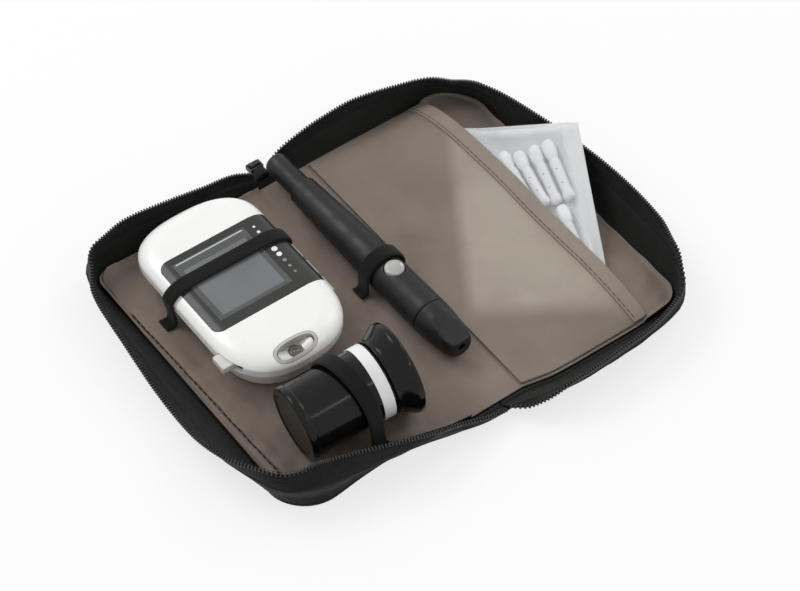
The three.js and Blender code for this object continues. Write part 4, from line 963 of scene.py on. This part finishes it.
def pocket_height(x, across):
    reach = (x - POCKET_SEAM_X) / (POCKET_MOUTH_X - POCKET_SEAM_X)
    held = 1 - (2 * across - 1) ** (6 if across < 0.5 else 4)
    crease = sin(2 * pi * (reach + across)) * reach * (1 - reach) * held
    lift = POCKET_ROOM * max(reach, 0) ** POCKET_RISE * held
    height = FLOOR_TOP + GAP + lift + POCKET_FOLD * 4 * max(crease, 0)
    y = pocket_y(across)
    soft = 1.3 * max(0, wrinkle(x + 0.55 * y, y * 0.5 - 0.4 * x, 24, 4.4) + 0.1)
    sharp = 1.1 * max(0, 0.16 - abs(wrinkle(x + 0.8 * y, y * 0.35, 30, 8.8)))
    return height + held * smoothstep(reach, 0.02, 0.3) * (soft + sharp)


def pocket_point(x, across, up):
    return RIGHT.settled(x, pocket_y(across), pocket_height(x, across) + up)


def pocket_slab(name, finish, columns, start, end, thick, stands_for):
    def flat(i, j):
        across = j / POCKET_STEPS
        return lerp(start(across), end(across), i / (columns - 1)), pocket_y(across)

    def place(i, j, level):
        x, across = flat(i, j)[0], j / POCKET_STEPS
        pucker = 0.18 * sin(across * 190) * smoothstep(1.5 - (x - POCKET_SEAM_X), 0, 1.5)
        return pocket_point(x, across, level * thick + max(pucker, 0))

    return slab(name, "right_half", finish, columns, POCKET_STEPS + 1, place, stands_for, flat, soften=0.2)


pocket = pocket_slab("pocket_cloth", POCKET_TAUPE, 70, lambda t: POCKET_SEAM_X,
                     lambda t: mouth_x(t) - HEM_W + 0.4, POCKET_T, ["pocket_panel"])
hem = pocket_slab("pocket_hem_cloth", HEM_TAUPE, 10, lambda t: mouth_x(t) - HEM_W, mouth_x, HEM_T,
                  ["pocket_hem"])
hem_path = [pocket_point(mouth_x(t) - HEM_W + 0.9, t, HEM_T + 0.02) for t in spread(0.01, 0.99, 100)]
stitches("pocket_hem_seam", "right_half", THREAD_TAUPE, hem_path, 2.4, 2.1, 0.2)

# ---------------------------------------------------------------- the bag of lancets
BAG_TILT, BAG_BEND_R, BAG_SIDE_A, BAG_SIDE_B, BAG_TAPER = radians(40), 20, 50, 62, 0.12
BAG_CORNER = Vector((31.2, 6))
BAG_TURN_A, BAG_TURN_B = radians(130.6), radians(236.5)
BAG_FULL, BAG_EDGE, BAG_THIN_FROM, BAG_THIN_TO = 4.6, 3.5, 20, 8
FILM_T, FRONT_FILM_T, FILM_STEPS = 0.4, 0.15, 63


def bag_point(up, y, off):
    """A place on the bag's bent middle: up from the pocket's mouth, along y, and off the lower film."""
    reach = BAG_BEND_R * tan(BAG_TILT / 2)
    turn = BAG_TILT * clamp((up + reach) / (2 * reach))
    past = up - clamp(up, -reach, reach)
    x = POCKET_MOUTH_X - reach + (BAG_BEND_R - off) * sin(turn) + past * cos(turn)
    z = FLOOR_TOP + GAP + BAG_BEND_R - (BAG_BEND_R - off) * cos(turn) + past * sin(turn)
    return Vector((x, y, z))


def film(name, finish, fullness, low, thick, stands_for):
    side_a = Vector((cos(BAG_TURN_A), sin(BAG_TURN_A))) * BAG_SIDE_A
    side_b = Vector((cos(BAG_TURN_B), sin(BAG_TURN_B))) * BAG_SIDE_B

    def flat(i, j):
        return i / FILM_STEPS * BAG_SIDE_A, j / FILM_STEPS * BAG_SIDE_B

    def place(i, j, level):
        a, b = i / FILM_STEPS, j / FILM_STEPS
        at = BAG_CORNER + side_a * a + side_b * b * (1 - BAG_TAPER * a)
        edge, end = min(a, 1 - a) * BAG_SIDE_A, min(b, 1 - b) * BAG_SIDE_B
        full = (smoothstep(edge / BAG_EDGE) * smoothstep(end / BAG_EDGE)
                * smoothstep((at.x + BAG_THIN_FROM) / (BAG_THIN_FROM - BAG_THIN_TO)))
        crinkle = 0.0
        if fullness:
            crinkle = full * (0.5 * wrinkle(at.x, at.y, 9, 6.6) + 0.25 * wrinkle(at.x, at.y, 4, 1.6) - 0.2)
        return bag_point(at.x, at.y, low + fullness * full + crinkle + level * thick)

    slab(name, "lancet_bag", finish, FILM_STEPS + 1, FILM_STEPS + 1, place, stands_for, flat, soften=0)


def film_finish(title, colour_in, colour_edge, alpha, edge_alpha, rough):
    """Film whose welded edges look denser than the rest."""
    finish = Finish("film_clear", colour_in, rough, level=0.4, title=title)
    u, v = finish.axes("UV")[:2]
    near = finish.maths("MINIMUM", finish.maths("MINIMUM", u, finish.maths("SUBTRACT", BAG_SIDE_A * MM, u)),
                        finish.maths("MINIMUM", v, finish.maths("SUBTRACT", BAG_SIDE_B * MM, v)))
    inside = finish.ramp(near, 3.2 * MM, 5.2 * MM)
    finish.colours(inside, colour_edge, finish.mix(finish.noise(16, 3), colour_in, (222, 224, 228)))
    finish.link(finish.ramp(inside, 0, 1, edge_alpha, alpha), "Alpha")
    return finish.bump(finish.noise(7, 4, 0.2, 0.8), 0.12)


BACK_FILM = film_finish("film_clear", (214, 216, 220), (238, 239, 240), 0.98, 0.98, 0.35)
FRONT_FILM = film_finish("film_clear_front", (236, 237, 240), (244, 245, 246), 0.14, 0.3, 0.18)
film("bag_back_film", BACK_FILM, 0, 0, FILM_T, ["lancet_bag_back"])
film("bag_front_film", FRONT_FILM, BAG_FULL, FILM_T + GAP, FRONT_FILM_T, ["lancet_bag_front"])

LANCET_L, LANCET_CAP_R, NOTCH_L = 24, 1.9, 2.2
# place up and along as shares of BAG_CORNER.x, and the turn as a share of half a turn
LANCETS = [
    [0.48, -0.045, -0.617], [0.337, 0.04, -0.611], [0.19, 0.135, -0.594],
    [0.062, 0.28, -0.585], [-0.09, 0.4, -0.58], [0.03, -0.725, -0.642],
]
# place along, half width and half thickness
LANCET_FORM = [
    [0.0, 1.2, 0.8], [0.25, 1.8, 1.2], [0.9, 2.1, 1.4], [2.4, 2.1, 1.4], [3.4, 1.85, 1.25],
    [4.5, 1.75, 1.2], [12.5, 1.85, 1.3], [15.2, 1.9, 1.35], [16.2, 1.6, 1.15], [17.0, 1.95, 1.35],
    [18.6, 2.3, 1.5], [21.6, 2.35, 1.55], [23.0, 2.0, 1.4], [23.7, 1.3, 1.0], [24, 0.6, 0.5],
]
# a dot's rings: height over the lancet's side, radius
DOT_FORM = [(-0.3, 0.3), (0.0, 0.3), (0.06, 0.2)]


def spare_lancet(index, up, along, turn_share):
    """Builds one lancet and gives the places of the two dots on its side."""
    turn = turn_share * pi
    half = Vector((cos(turn), sin(turn))) * LANCET_L / 2
    middle = Vector((up, along)) * BAG_CORNER.x
    off = FILM_T + 1.5 * GAP + LANCET_CAP_R
    start, end = bag_point(*(middle + half), off), bag_point(*(middle - half), off)
    ahead = (end - start).normalized()
    side = ahead.cross(bag_point(*middle, off + 1) - bag_point(*middle, off)).normalized()
    normal = side.cross(ahead)
    rings = []
    for y in spread(0, LANCET_L, 60):
        wide, thick = between(LANCET_FORM, y, 1), between(LANCET_FORM, y, 2)
        ring = []
        for angle in around(24):
            u, w = oval(angle, 0.75, wide, thick)
            if y < NOTCH_L:
                w *= 1 - 0.35 * smoothstep(NOTCH_L - y, 0, NOTCH_L) * smoothstep(1 - abs(u) / 0.7, 0, 1)
            ring.append(start + ahead * y + side * u + normal * w)
        rings.append(ring)
    loft(f"spare_lancet_form_{index}", "lancet_bag", LANCET_WHITE, rings, [f"spare_lancet_{index}"])
    return [(start + ahead * y + normal * between(LANCET_FORM, y, 2), normal, ahead) for y in (6.5, 12.0)]


dot_points, dot_faces = [], []
for index, row in enumerate(LANCETS, 1):
    for at, normal, ahead in spare_lancet(index, *row):
        side = ahead.cross(normal)
        dot_faces += bands(len(dot_points), 10, len(DOT_FORM), True)
        for height, radius in DOT_FORM:
            dot_points += circle(at + normal * height, ahead, side, radius, 10)
build("lancet_dots", "lancet_bag", DOT_GREY, dot_points, dot_faces)

# ---------------------------------------------------------------- the meter
METER_X, METER_Y = -43.5, 20.55
METER = moved(METER_X, METER_Y, FLOOR_TOP + GAP)
METER_W, METER_L, METER_H, METER_EDGE, METER_SEAM, METER_WALL = 46, 76.6, 15.3, 7, 10.4, 1.5
METER_TOP_ROUND, METER_BOTTOM_ROUND, SQUARENESS = 16.3, 25.2, 2.55
# a cover's side: share of its height and inset as a share of METER_EDGE
BACK_FORM = [(0, 0.8), (0.08, 0.5), (0.2, 0.38), (0.43, 0.26), (0.7, 0.09), (0.87, 0), (1, 0)]
FRONT_FORM = [(0, 0), (0.27, 0.01), (0.63, 0.22), (0.9, 0.59), (1, 1)]
END_SHRINKS = (0.93, 0.8, 0.6, 0.35, 0.12)
PANEL_LEFT, PANEL_TOP, PANEL_H, PANEL_R = -19.95, 20.4, 35.6, 3.5
WINDOW_W, WINDOW_H, WINDOW_X, WINDOW_Y = 28.6, 29.0, -1.65, 3.3
PORT_X, PORT_Y, PORT_W, PORT_H, PORT_TOP = -2.2, -33.8, 16, 7.2, 12.2
# the openings at the seam for the ejector and the keys, and the battery door's
EJECTOR_RUN, EJECTOR_DEPTH, RUN_HALF = (-28.9, -19.5), 4.5, 1.3
KEYS_Y, KEY_HALF, KEY_DEPTH = (1.5, -7.3, -16.1), 3.5, 2.5
DOOR_HALF_X, DOOR_RUN = 11.5, (-15.75, 27.25)
FIT, THROUGH = 0.08, METER_H + 1


def meter_ring(inset, z):
    half = METER_W / 2 - inset
    ring = []
    for start, middle, depth in ((0, METER_L / 2 - METER_TOP_ROUND, METER_TOP_ROUND - inset),
                                 (pi, METER_BOTTOM_ROUND - METER_L / 2, METER_BOTTOM_ROUND - inset)):
        for turn in spread(start, start + pi, 40):
            x, y = oval(turn, 2 / SQUARENESS, half, depth)
            ring.append(Vector((x, middle + y, z)))
    return ring


def meter_solid(name, form, low, high, wall, facing):
    """A cover's outer solid, or its hollow, which a wall's thickness draws in and opens at the seam."""
    span = (low, high - wall) if facing > 0 else (low + wall, high)
    rings = [meter_ring(max(inset, 0) * METER_EDGE + wall, lerp(*span, clamp(rise)))
             for rise, inset in curve_through(form, 5)][::facing]
    if wall:
        far = low - 2 if facing > 0 else high + 2
        rings.insert(0, [Vector((p.x, p.y, far)) for p in rings[0]])
    rings += [[Vector((p.x * shrink, p.y * shrink, p.z)) for p in rings[-1]] for shrink in END_SHRINKS]
    return loft(name, None, WHITE_PLASTIC, [[METER @ p for p in ring] for ring in rings[::facing]])


def block(name, xs, ys, zs):
    points = [METER @ Vector((x, y, z)) for x in xs for y in ys for z in zs]
    faces = [(0, 1, 3, 2), (4, 6, 7, 5), (0, 4, 5, 1), (2, 3, 7, 6), (0, 2, 6, 4), (1, 5, 7, 3)]
    return build(name, None, WHITE_PLASTIC, points, faces)


def upright(name, outline, low, high=THROUGH):
    return loft(name, None, WHITE_PLASTIC, [[METER @ Vector((*p, z)) for p in outline] for z in (low, high)])


def panel_outline(grow):
    left, right = PANEL_LEFT - grow, METER_W / 2 + 1
    low, high = PANEL_TOP - PANEL_H - grow, PANEL_TOP + grow
    out = [(right, low), (right, high)]
    for start, y in ((pi / 2, high - PANEL_R), (pi, low + PANEL_R)):
        out += arc(left + PANEL_R, y, PANEL_R, start, start + pi / 2, 12)
    return out


def port_outline(inset):
    ring = [oval(turn, 2 / SQUARENESS, PORT_W / 2 - inset, PORT_H / 2 - inset) for turn in around(72)]
    return [(PORT_X + x, PORT_Y + y) for x, y in ring]


def shell(name, form, low, high, facing):
    outer = meter_solid(name, form, low, high, 0, facing)
    inner = meter_solid(name + "_inner", form, low, high, METER_WALL, facing)
    carve(outer, "DIFFERENCE", inner)
    discard(inner)
    return outer


def copy_of(piece, name):
    return added(name, piece.data.copy())


def finished(piece, finish, node, width=0.2):
    shaded(piece.data, finish, 28)
    bevel(piece, width, 28)
    seated(piece, "meter", finish, [node])


def eased(low, high, room=GAP):
    return low - room, high + room


def window_block(name, grow):
    return block(name, eased(WINDOW_X - WINDOW_W / 2, WINDOW_X + WINDOW_W / 2, grow),
                 eased(WINDOW_Y - WINDOW_H / 2, WINDOW_Y + WINDOW_H / 2, grow), (METER_SEAM, THROUGH))


front = shell("meter_front", FRONT_FORM, METER_SEAM + GAP / 4, METER_H, 1)
back = shell("meter_back", BACK_FORM, 0, METER_SEAM - GAP / 4, -1)
front_outer = meter_solid("front_outer", FRONT_FORM, METER_SEAM + GAP / 4, METER_H, 0, 1)
run_z = eased(METER_SEAM - RUN_HALF, METER_SEAM + RUN_HALF)
slots = [block("ejector_run", (-METER_W / 2 - 1, -METER_W / 2 + EJECTOR_DEPTH + GAP), eased(*EJECTOR_RUN),
               run_z)]
for y in KEYS_Y:
    slots.append(block("key_run", (METER_W / 2 - KEY_DEPTH - GAP, METER_W / 2 + 1),
                       eased(y - KEY_HALF, y + KEY_HALF), run_z))
window_hole, window_tool = window_block("window_hole", FIT), window_block("window_tool", 0)
panel_hole = upright("panel_hole", panel_outline(FIT), METER_SEAM - 1)
panel_tool = upright("panel_tool", panel_outline(0), METER_SEAM + GAP)
port_hole = upright("port_hole", port_outline(-0.12), METER_SEAM - 1)
door_hole = block("door_hole", eased(-DOOR_HALF_X, DOOR_HALF_X, GAP / 2), eased(*DOOR_RUN, GAP / 2),
                  (-1, METER_WALL + 0.15))
rim_tool = upright("rim_tool", port_outline(0), PORT_TOP - 1)
rim_bore = upright("rim_bore", port_outline(1.0), PORT_TOP)

panel, window = copy_of(front, "meter_panel"), copy_of(front, "meter_window")
rim = copy_of(front_outer, "port_rim")
carve(panel, "INTERSECT", panel_tool)
carve(panel, "DIFFERENCE", window_hole, *slots[1:])
carve(window, "INTERSECT", window_tool)
carve(front, "DIFFERENCE", panel_hole, port_hole, *slots)
carve(back, "DIFFERENCE", *slots, door_hole)
carve(rim, "INTERSECT", rim_tool)
carve(rim, "DIFFERENCE", rim_bore)
discard(window_hole, window_tool, panel_hole, panel_tool, port_hole, rim_tool, rim_bore, door_hole, *slots)

WINDOW_GREY = Finish("window_grey", (112, 116, 118), 0.14, level=0.3)
x_axis, y_axis = WINDOW_GREY.axes("Object")[:2]
window_x, window_y = METER_X + WINDOW_X, METER_Y + WINDOW_Y
glass = WINDOW_GREY.times(WINDOW_GREY.within(x_axis, window_x - 12.2, window_x + 12.2),
                          WINDOW_GREY.within(y_axis, window_y - 12.9, window_y + 10.4))
line = WINDOW_GREY.times(WINDOW_GREY.within(x_axis, window_x - 13.2, window_x + 13.2),
                         WINDOW_GREY.within(y_axis, window_y + 13.4, window_y + 13.9, 0.08))
shade = WINDOW_GREY.mix(WINDOW_GREY.noise(20, 2), (108, 112, 114), (116, 120, 122))
bezel = WINDOW_GREY.mix(WINDOW_GREY.noise(20, 2), (80, 82, 82), (88, 90, 90))
WINDOW_GREY.colours(line, WINDOW_GREY.mix(glass, bezel, shade), (196, 198, 198))

finished(front, WHITE_PLASTIC, "meter_front_cover")
finished(back, WHITE_PLASTIC, "meter_back_cover")
finished(panel, PANEL_BLACK, "meter_display_panel", 0.1)
finished(window, WINDOW_GREY, "meter_display_window", 0.06)
finished(rim, PORT_GREY, "strip_port", 0.25)

# the outline of a wedge beside the port's lamp: across it, and up it as a share of its height
WEDGE_FORM = ((-1, 0), (1, 0), (1, 0.75), (0.75, 1), (0, 1.1), (-0.75, 1), (-1, 0.75))
for side in (-1, 1):
    rings = []
    for share in spread(0, 1, 8):
        x = PORT_X + side * lerp(2.5, PORT_W / 2 - 1.5, share)
        half_y = 2.2 * sqrt(max(1 - max(share * 5.0 - 3.2, 0) ** 2 / 4.2, 0.05))
        rise = lerp(0.35, 1.7, share) + 0.3
        rings.append([METER @ Vector((x, PORT_Y + v * half_y, PORT_TOP - 0.3 + z * rise))
                      for v, z in WEDGE_FORM])
    bevel(loft(f"port_wedge_{'left' if side < 0 else 'right'}", "meter", PORT_CLEAR, rings), 0.12, 30)
lathe("port_lamp", "meter", PORT_DARK, filleted([
    (0, PORT_TOP - 0.5), (2.35, PORT_TOP - 0.5), (2.35, PORT_TOP + 0.5), (1.75, PORT_TOP + 0.85),
    (1.45, PORT_TOP + 0.35), (0.8, PORT_TOP + 0.3), (0, PORT_TOP + 0.75)], 0.2), 40,
    METER @ moved(PORT_X, PORT_Y, 0) @ turned(90, "X"))

surface = BVHTree.FromObject(front_outer, bpy.context.evaluated_depsgraph_get())
discard(front_outer)
DOTS_X, ABOVE = 15.65, 40
# place along the meter, radius and finish
DOTS = [(15.8, 0.5, LAMP_WHITE), (13.0, 0.6, LAMP_WHITE), (3.8, 1.05, LAMP_WHITE), (1.0, 0.95, LAMP_WHITE),
        (-2.2, 0.75, LAMP_DIM), (-5.2, 0.6, LAMP_DIM), (-8.2, 0.5, LAMP_DIM)]
for index, (y, radius, finish) in enumerate(DOTS, 1):
    hit, normal, _, _ = surface.ray_cast(METER @ Vector((DOTS_X, y, ABOVE)) * MM, -UP)
    seat = Matrix.Translation(hit / MM) @ normal.to_track_quat("Y", "Z").to_matrix().to_4x4()
    lathe(f"meter_dot_{index}", "meter", finish, filleted([
        (0, -0.2), (radius, -0.2), (radius, 0.06), (0, 0.1)], 0.05, 2), 28, seat)

dressed("strip_ejector", "strip_ejector", EJECTOR_GREY, 0.35)
for key in ("power_key", "back_key", "forward_key"):
    dressed(key, key, PORT_GREY, 0.3)
dressed("battery_door", "meter", WHITE_PLASTIC, 0.12)
keep(STEEL, "coin_cell_1", "coin_cell_2")
keep(CIRCUIT_GREEN, "meter_circuit_board")
keep(SCREEN_GREY, "meter_screen")

# ---------------------------------------------------------------- the lancing pen
PEN_R, PEN_SEAM, PEN_BORE_R, PEN_BODY_END, RELEASE_Y, SPRING_TRAVEL = 6.8, -34.8, 4.5, 35.5, -16.0, 5.1
PEN = moved(-0.2, 11.3, FLOOR_TOP + GAP + PEN_R) @ turned(1.32, "Z")
RELEASE = PEN @ moved(0, RELEASE_Y, 0) @ turned(90, "X")

pen_body = lathe("pen_barrel", "pen", PEN_GREY, filleted([
    (PEN_BORE_R, PEN_SEAM + FIT), (PEN_R - 0.1, PEN_SEAM + FIT), (PEN_R, PEN_SEAM + 0.8), (PEN_R - 0.12, -20),
    (6.45, 0), (6.05, 15), (5.55, 28), (5.3, 33.6), (5.25, PEN_BODY_END), (PEN_BORE_R, PEN_BODY_END)], 0.5,
    closed=True), 72, PEN, ["pen_body"])
hole = lathe("release_hole", None, PEN_GREY, [(0, 3), (3.75, 3), (3.75, 9), (0, 9)], 48, RELEASE)
carve(pen_body, "DIFFERENCE", hole)
discard(hole)
shaded(pen_body.data, PEN_GREY, 30)
bevel(pen_body, 0.18, 30)
lathe("pen_release", "pen_release_button", RELEASE_GREY, filleted([
    (0, 4.2), (3.4, 4.2), (3.4, 6.7), (3.0, 7.1), (2.5, 6.75), (1.5, 6.85), (0, 7.0)], 0.3), 48, RELEASE,
    ["pen_release_button"])
lathe("pen_primer", "pen_priming_button", PEN_GREY, filleted([
    (0, PEN_BODY_END - 12), (4.2, PEN_BODY_END - 12), (4.2, 48.5), (4.05, 51.2), (3.3, 52), (0, 52.0)], 0.6),
    56, PEN, ["pen_priming_button"])


def drive_spring():
    """The pen's spring, copied from the CAD node with a steel finish; nothing here makes the priming button
    press it shorter.
    """
    piece = replica("drive_spring", "pen_spring")
    piece.data.materials.clear()
    piece.data.materials.append(STEEL.material)
    seated(piece, "pen", STEEL, ["drive_spring"])
    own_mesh(piece)


def cap_facet(local):
    """The cap's flat upper face, which slopes down to its end, and its flattened sides."""
    top = lerp(6.95, 3.1, smoothstep(PEN_SEAM - 1.0 - local.y, 0, 15.5))
    side = lerp(6.95, 5.2, smoothstep(PEN_SEAM - 2.0 - local.y, 0, 14.5))
    return Vector((clamp(local.x, -side, side), local.y, min(local.z, top)))


drive_spring()
lathe("pen_cap_form", "pen_cap", PEN_GREY, filleted([
    (PEN_BORE_R, PEN_SEAM - FIT), (PEN_R - 0.1, PEN_SEAM - FIT), (PEN_R, PEN_SEAM - 0.7), (6.6, -40),
    (6.1, -44.6), (5.6, -48.5), (4.5, -51.2), (3.6, -52.0), (1.4, -52.0), (1.4, -50.5), (2.9, -50.5),
    (3.9, -46), (4.3, -42), (PEN_BORE_R, -39)], 0.5, closed=True), 72, PEN, ["pen_cap"], cap_facet)
keep(DARK_METAL, "pen_collar")
keep(HOLDER_WHITE, "lancet_holder")
keep(LANCET_WHITE, "pen_lancet")

# ---------------------------------------------------------------- the strip vial
VIAL_R, VIAL_FOOT_R, VIAL_LID_R, VIAL_L = 12.5, 12.9, 16, 40
# the vial lies on its foot and on its wider lid
VIAL_TILT = asin((VIAL_LID_R - VIAL_FOOT_R) / (VIAL_L - 2.4 - 0.5))
VIAL = (moved(-63.7, -37.55, FLOOR_TOP + GAP + VIAL_FOOT_R * cos(VIAL_TILT))
        @ turned(-94.5, "Z") @ Matrix.Rotation(VIAL_TILT, 4, "X"))
lathe("vial_shell", "vial", VIAL_BLACK, filleted([
    (0, 0.35), (10.6, 0.35), (11.4, 0), (VIAL_R, 0), (VIAL_FOOT_R, 0.6), (VIAL_FOOT_R, 2.3), (VIAL_R, 2.9),
    (VIAL_R, 31.3), (11.3, 31.3), (11.3, 1.2), (0, 1.2)], 0.35), 96, VIAL, ["vial_body"])
lathe("vial_ring", "vial", LABEL_WHITE, filleted([
    (12.55, 26.3), (12.85, 26.3), (12.85, 30.5), (12.55, 30.5)], 0.08, 2, closed=True), 96, VIAL,
    ["vial_label"])
lathe("vial_cap", "vial_lid", VIAL_BLACK, filleted([
    (0, 38.8), (9.6, 38.8), (9.6, 29.4), (10.8, 29.4), (10.8, 31.6), (13.0, 31.6), (13.0, 33.0), (13.7, 34.2),
    (15.1, 36.2), (VIAL_LID_R, 37.7), (VIAL_LID_R, 39.3), (15.3, VIAL_L), (0, VIAL_L)], 0.4), 96, VIAL,
    ["vial_lid"])
keep(LINER_WHITE, "vial_liner")
keep(LABEL_WHITE, "test_strips")

# ---------------------------------------------------------------- the elastic loops
BAND_W, BAND_T, BAND_TAIL, METER_LOOP_Y, PEN_LOOP_Y, VIAL_LOOP_Y = 5.5, 1.0, 3.5, 8.4, -9.1, 19.7


def loop_band(name, path, off, matrix, stands_for):
    """A flat elastic band round a line in its own X-Z plane, off it on its outer side."""
    def out_at(line, i):
        ahead = ahead_at(line, i)
        return Vector((ahead.y, -ahead.x))

    path = [at + out_at(path, i) * off for i, at in enumerate(path)]
    for _ in range(2):
        cut = [at for a, b in zip(path, path[1:]) for at in (a.lerp(b, 0.25), a.lerp(b, 0.75))]
        path = [path[0], *cut, path[-1]]
    rings, uvs, travelled = [], [], 0.0
    for i, at in enumerate(path):
        travelled += (at - path[max(i - 1, 0)]).length
        out = out_at(path, i)
        ring = []
        for turn in around(20):
            w, h = squared(cos(turn), 0.35) * BAND_W / 2, squared(sin(turn), 0.6) * BAND_T / 2
            ring.append(matrix @ Vector((at.x + out.x * h, w, at.y + out.y * h)))
            uvs.append((travelled, w))
        rings.append(ring)
    loft(name, "case", ELASTIC_BLACK, rings, stands_for, 60, uvs)


half_w = METER_W / 2
side_path = [Vector((half_w - 1.8, GAP))]
side_path += [Vector((half_w - inset * METER_EDGE, lerp(METER_SEAM, METER_H, rise)))
              for rise, inset in curve_through(FRONT_FORM, 3)]
meter_path = side_path + [Vector((-p.x, p.y)) for p in reversed(side_path[1:])]
meter_path += [Vector((1.8 - half_w, 0)), Vector((-half_w - BAND_TAIL, 0))]
loop_band("meter_band", meter_path, 0.9, METER @ moved(0, METER_LOOP_Y, 0), ["meter_loop"])

pen_path = [Vector((PEN_R, GAP - PEN_R)), *arc(0, 0, PEN_R, 0, pi, 36), Vector((-PEN_R, -PEN_R))]
pen_path += [Vector((-PEN_R - BAND_TAIL, -PEN_R))]
loop_band("pen_band", pen_path, 0.9, PEN @ moved(0, PEN_LOOP_Y, 0), ["pen_loop"])

drop = VIAL_FOOT_R + (VIAL_LOOP_Y - 5.5) * sin(VIAL_TILT) - GAP
vial_path = [Vector((VIAL_R + BAND_TAIL, -drop)), Vector((VIAL_R, -drop)), *arc(0, 0, VIAL_R, 0, pi, 36)]
vial_path += [Vector((-VIAL_R, -drop))]
loop_band("vial_band", vial_path, 1.7,
          VIAL @ moved(0, VIAL_LOOP_Y, 0) @ turned(10, "Z"), ["vial_loop"])

# ---------------------------------------------------------------- done
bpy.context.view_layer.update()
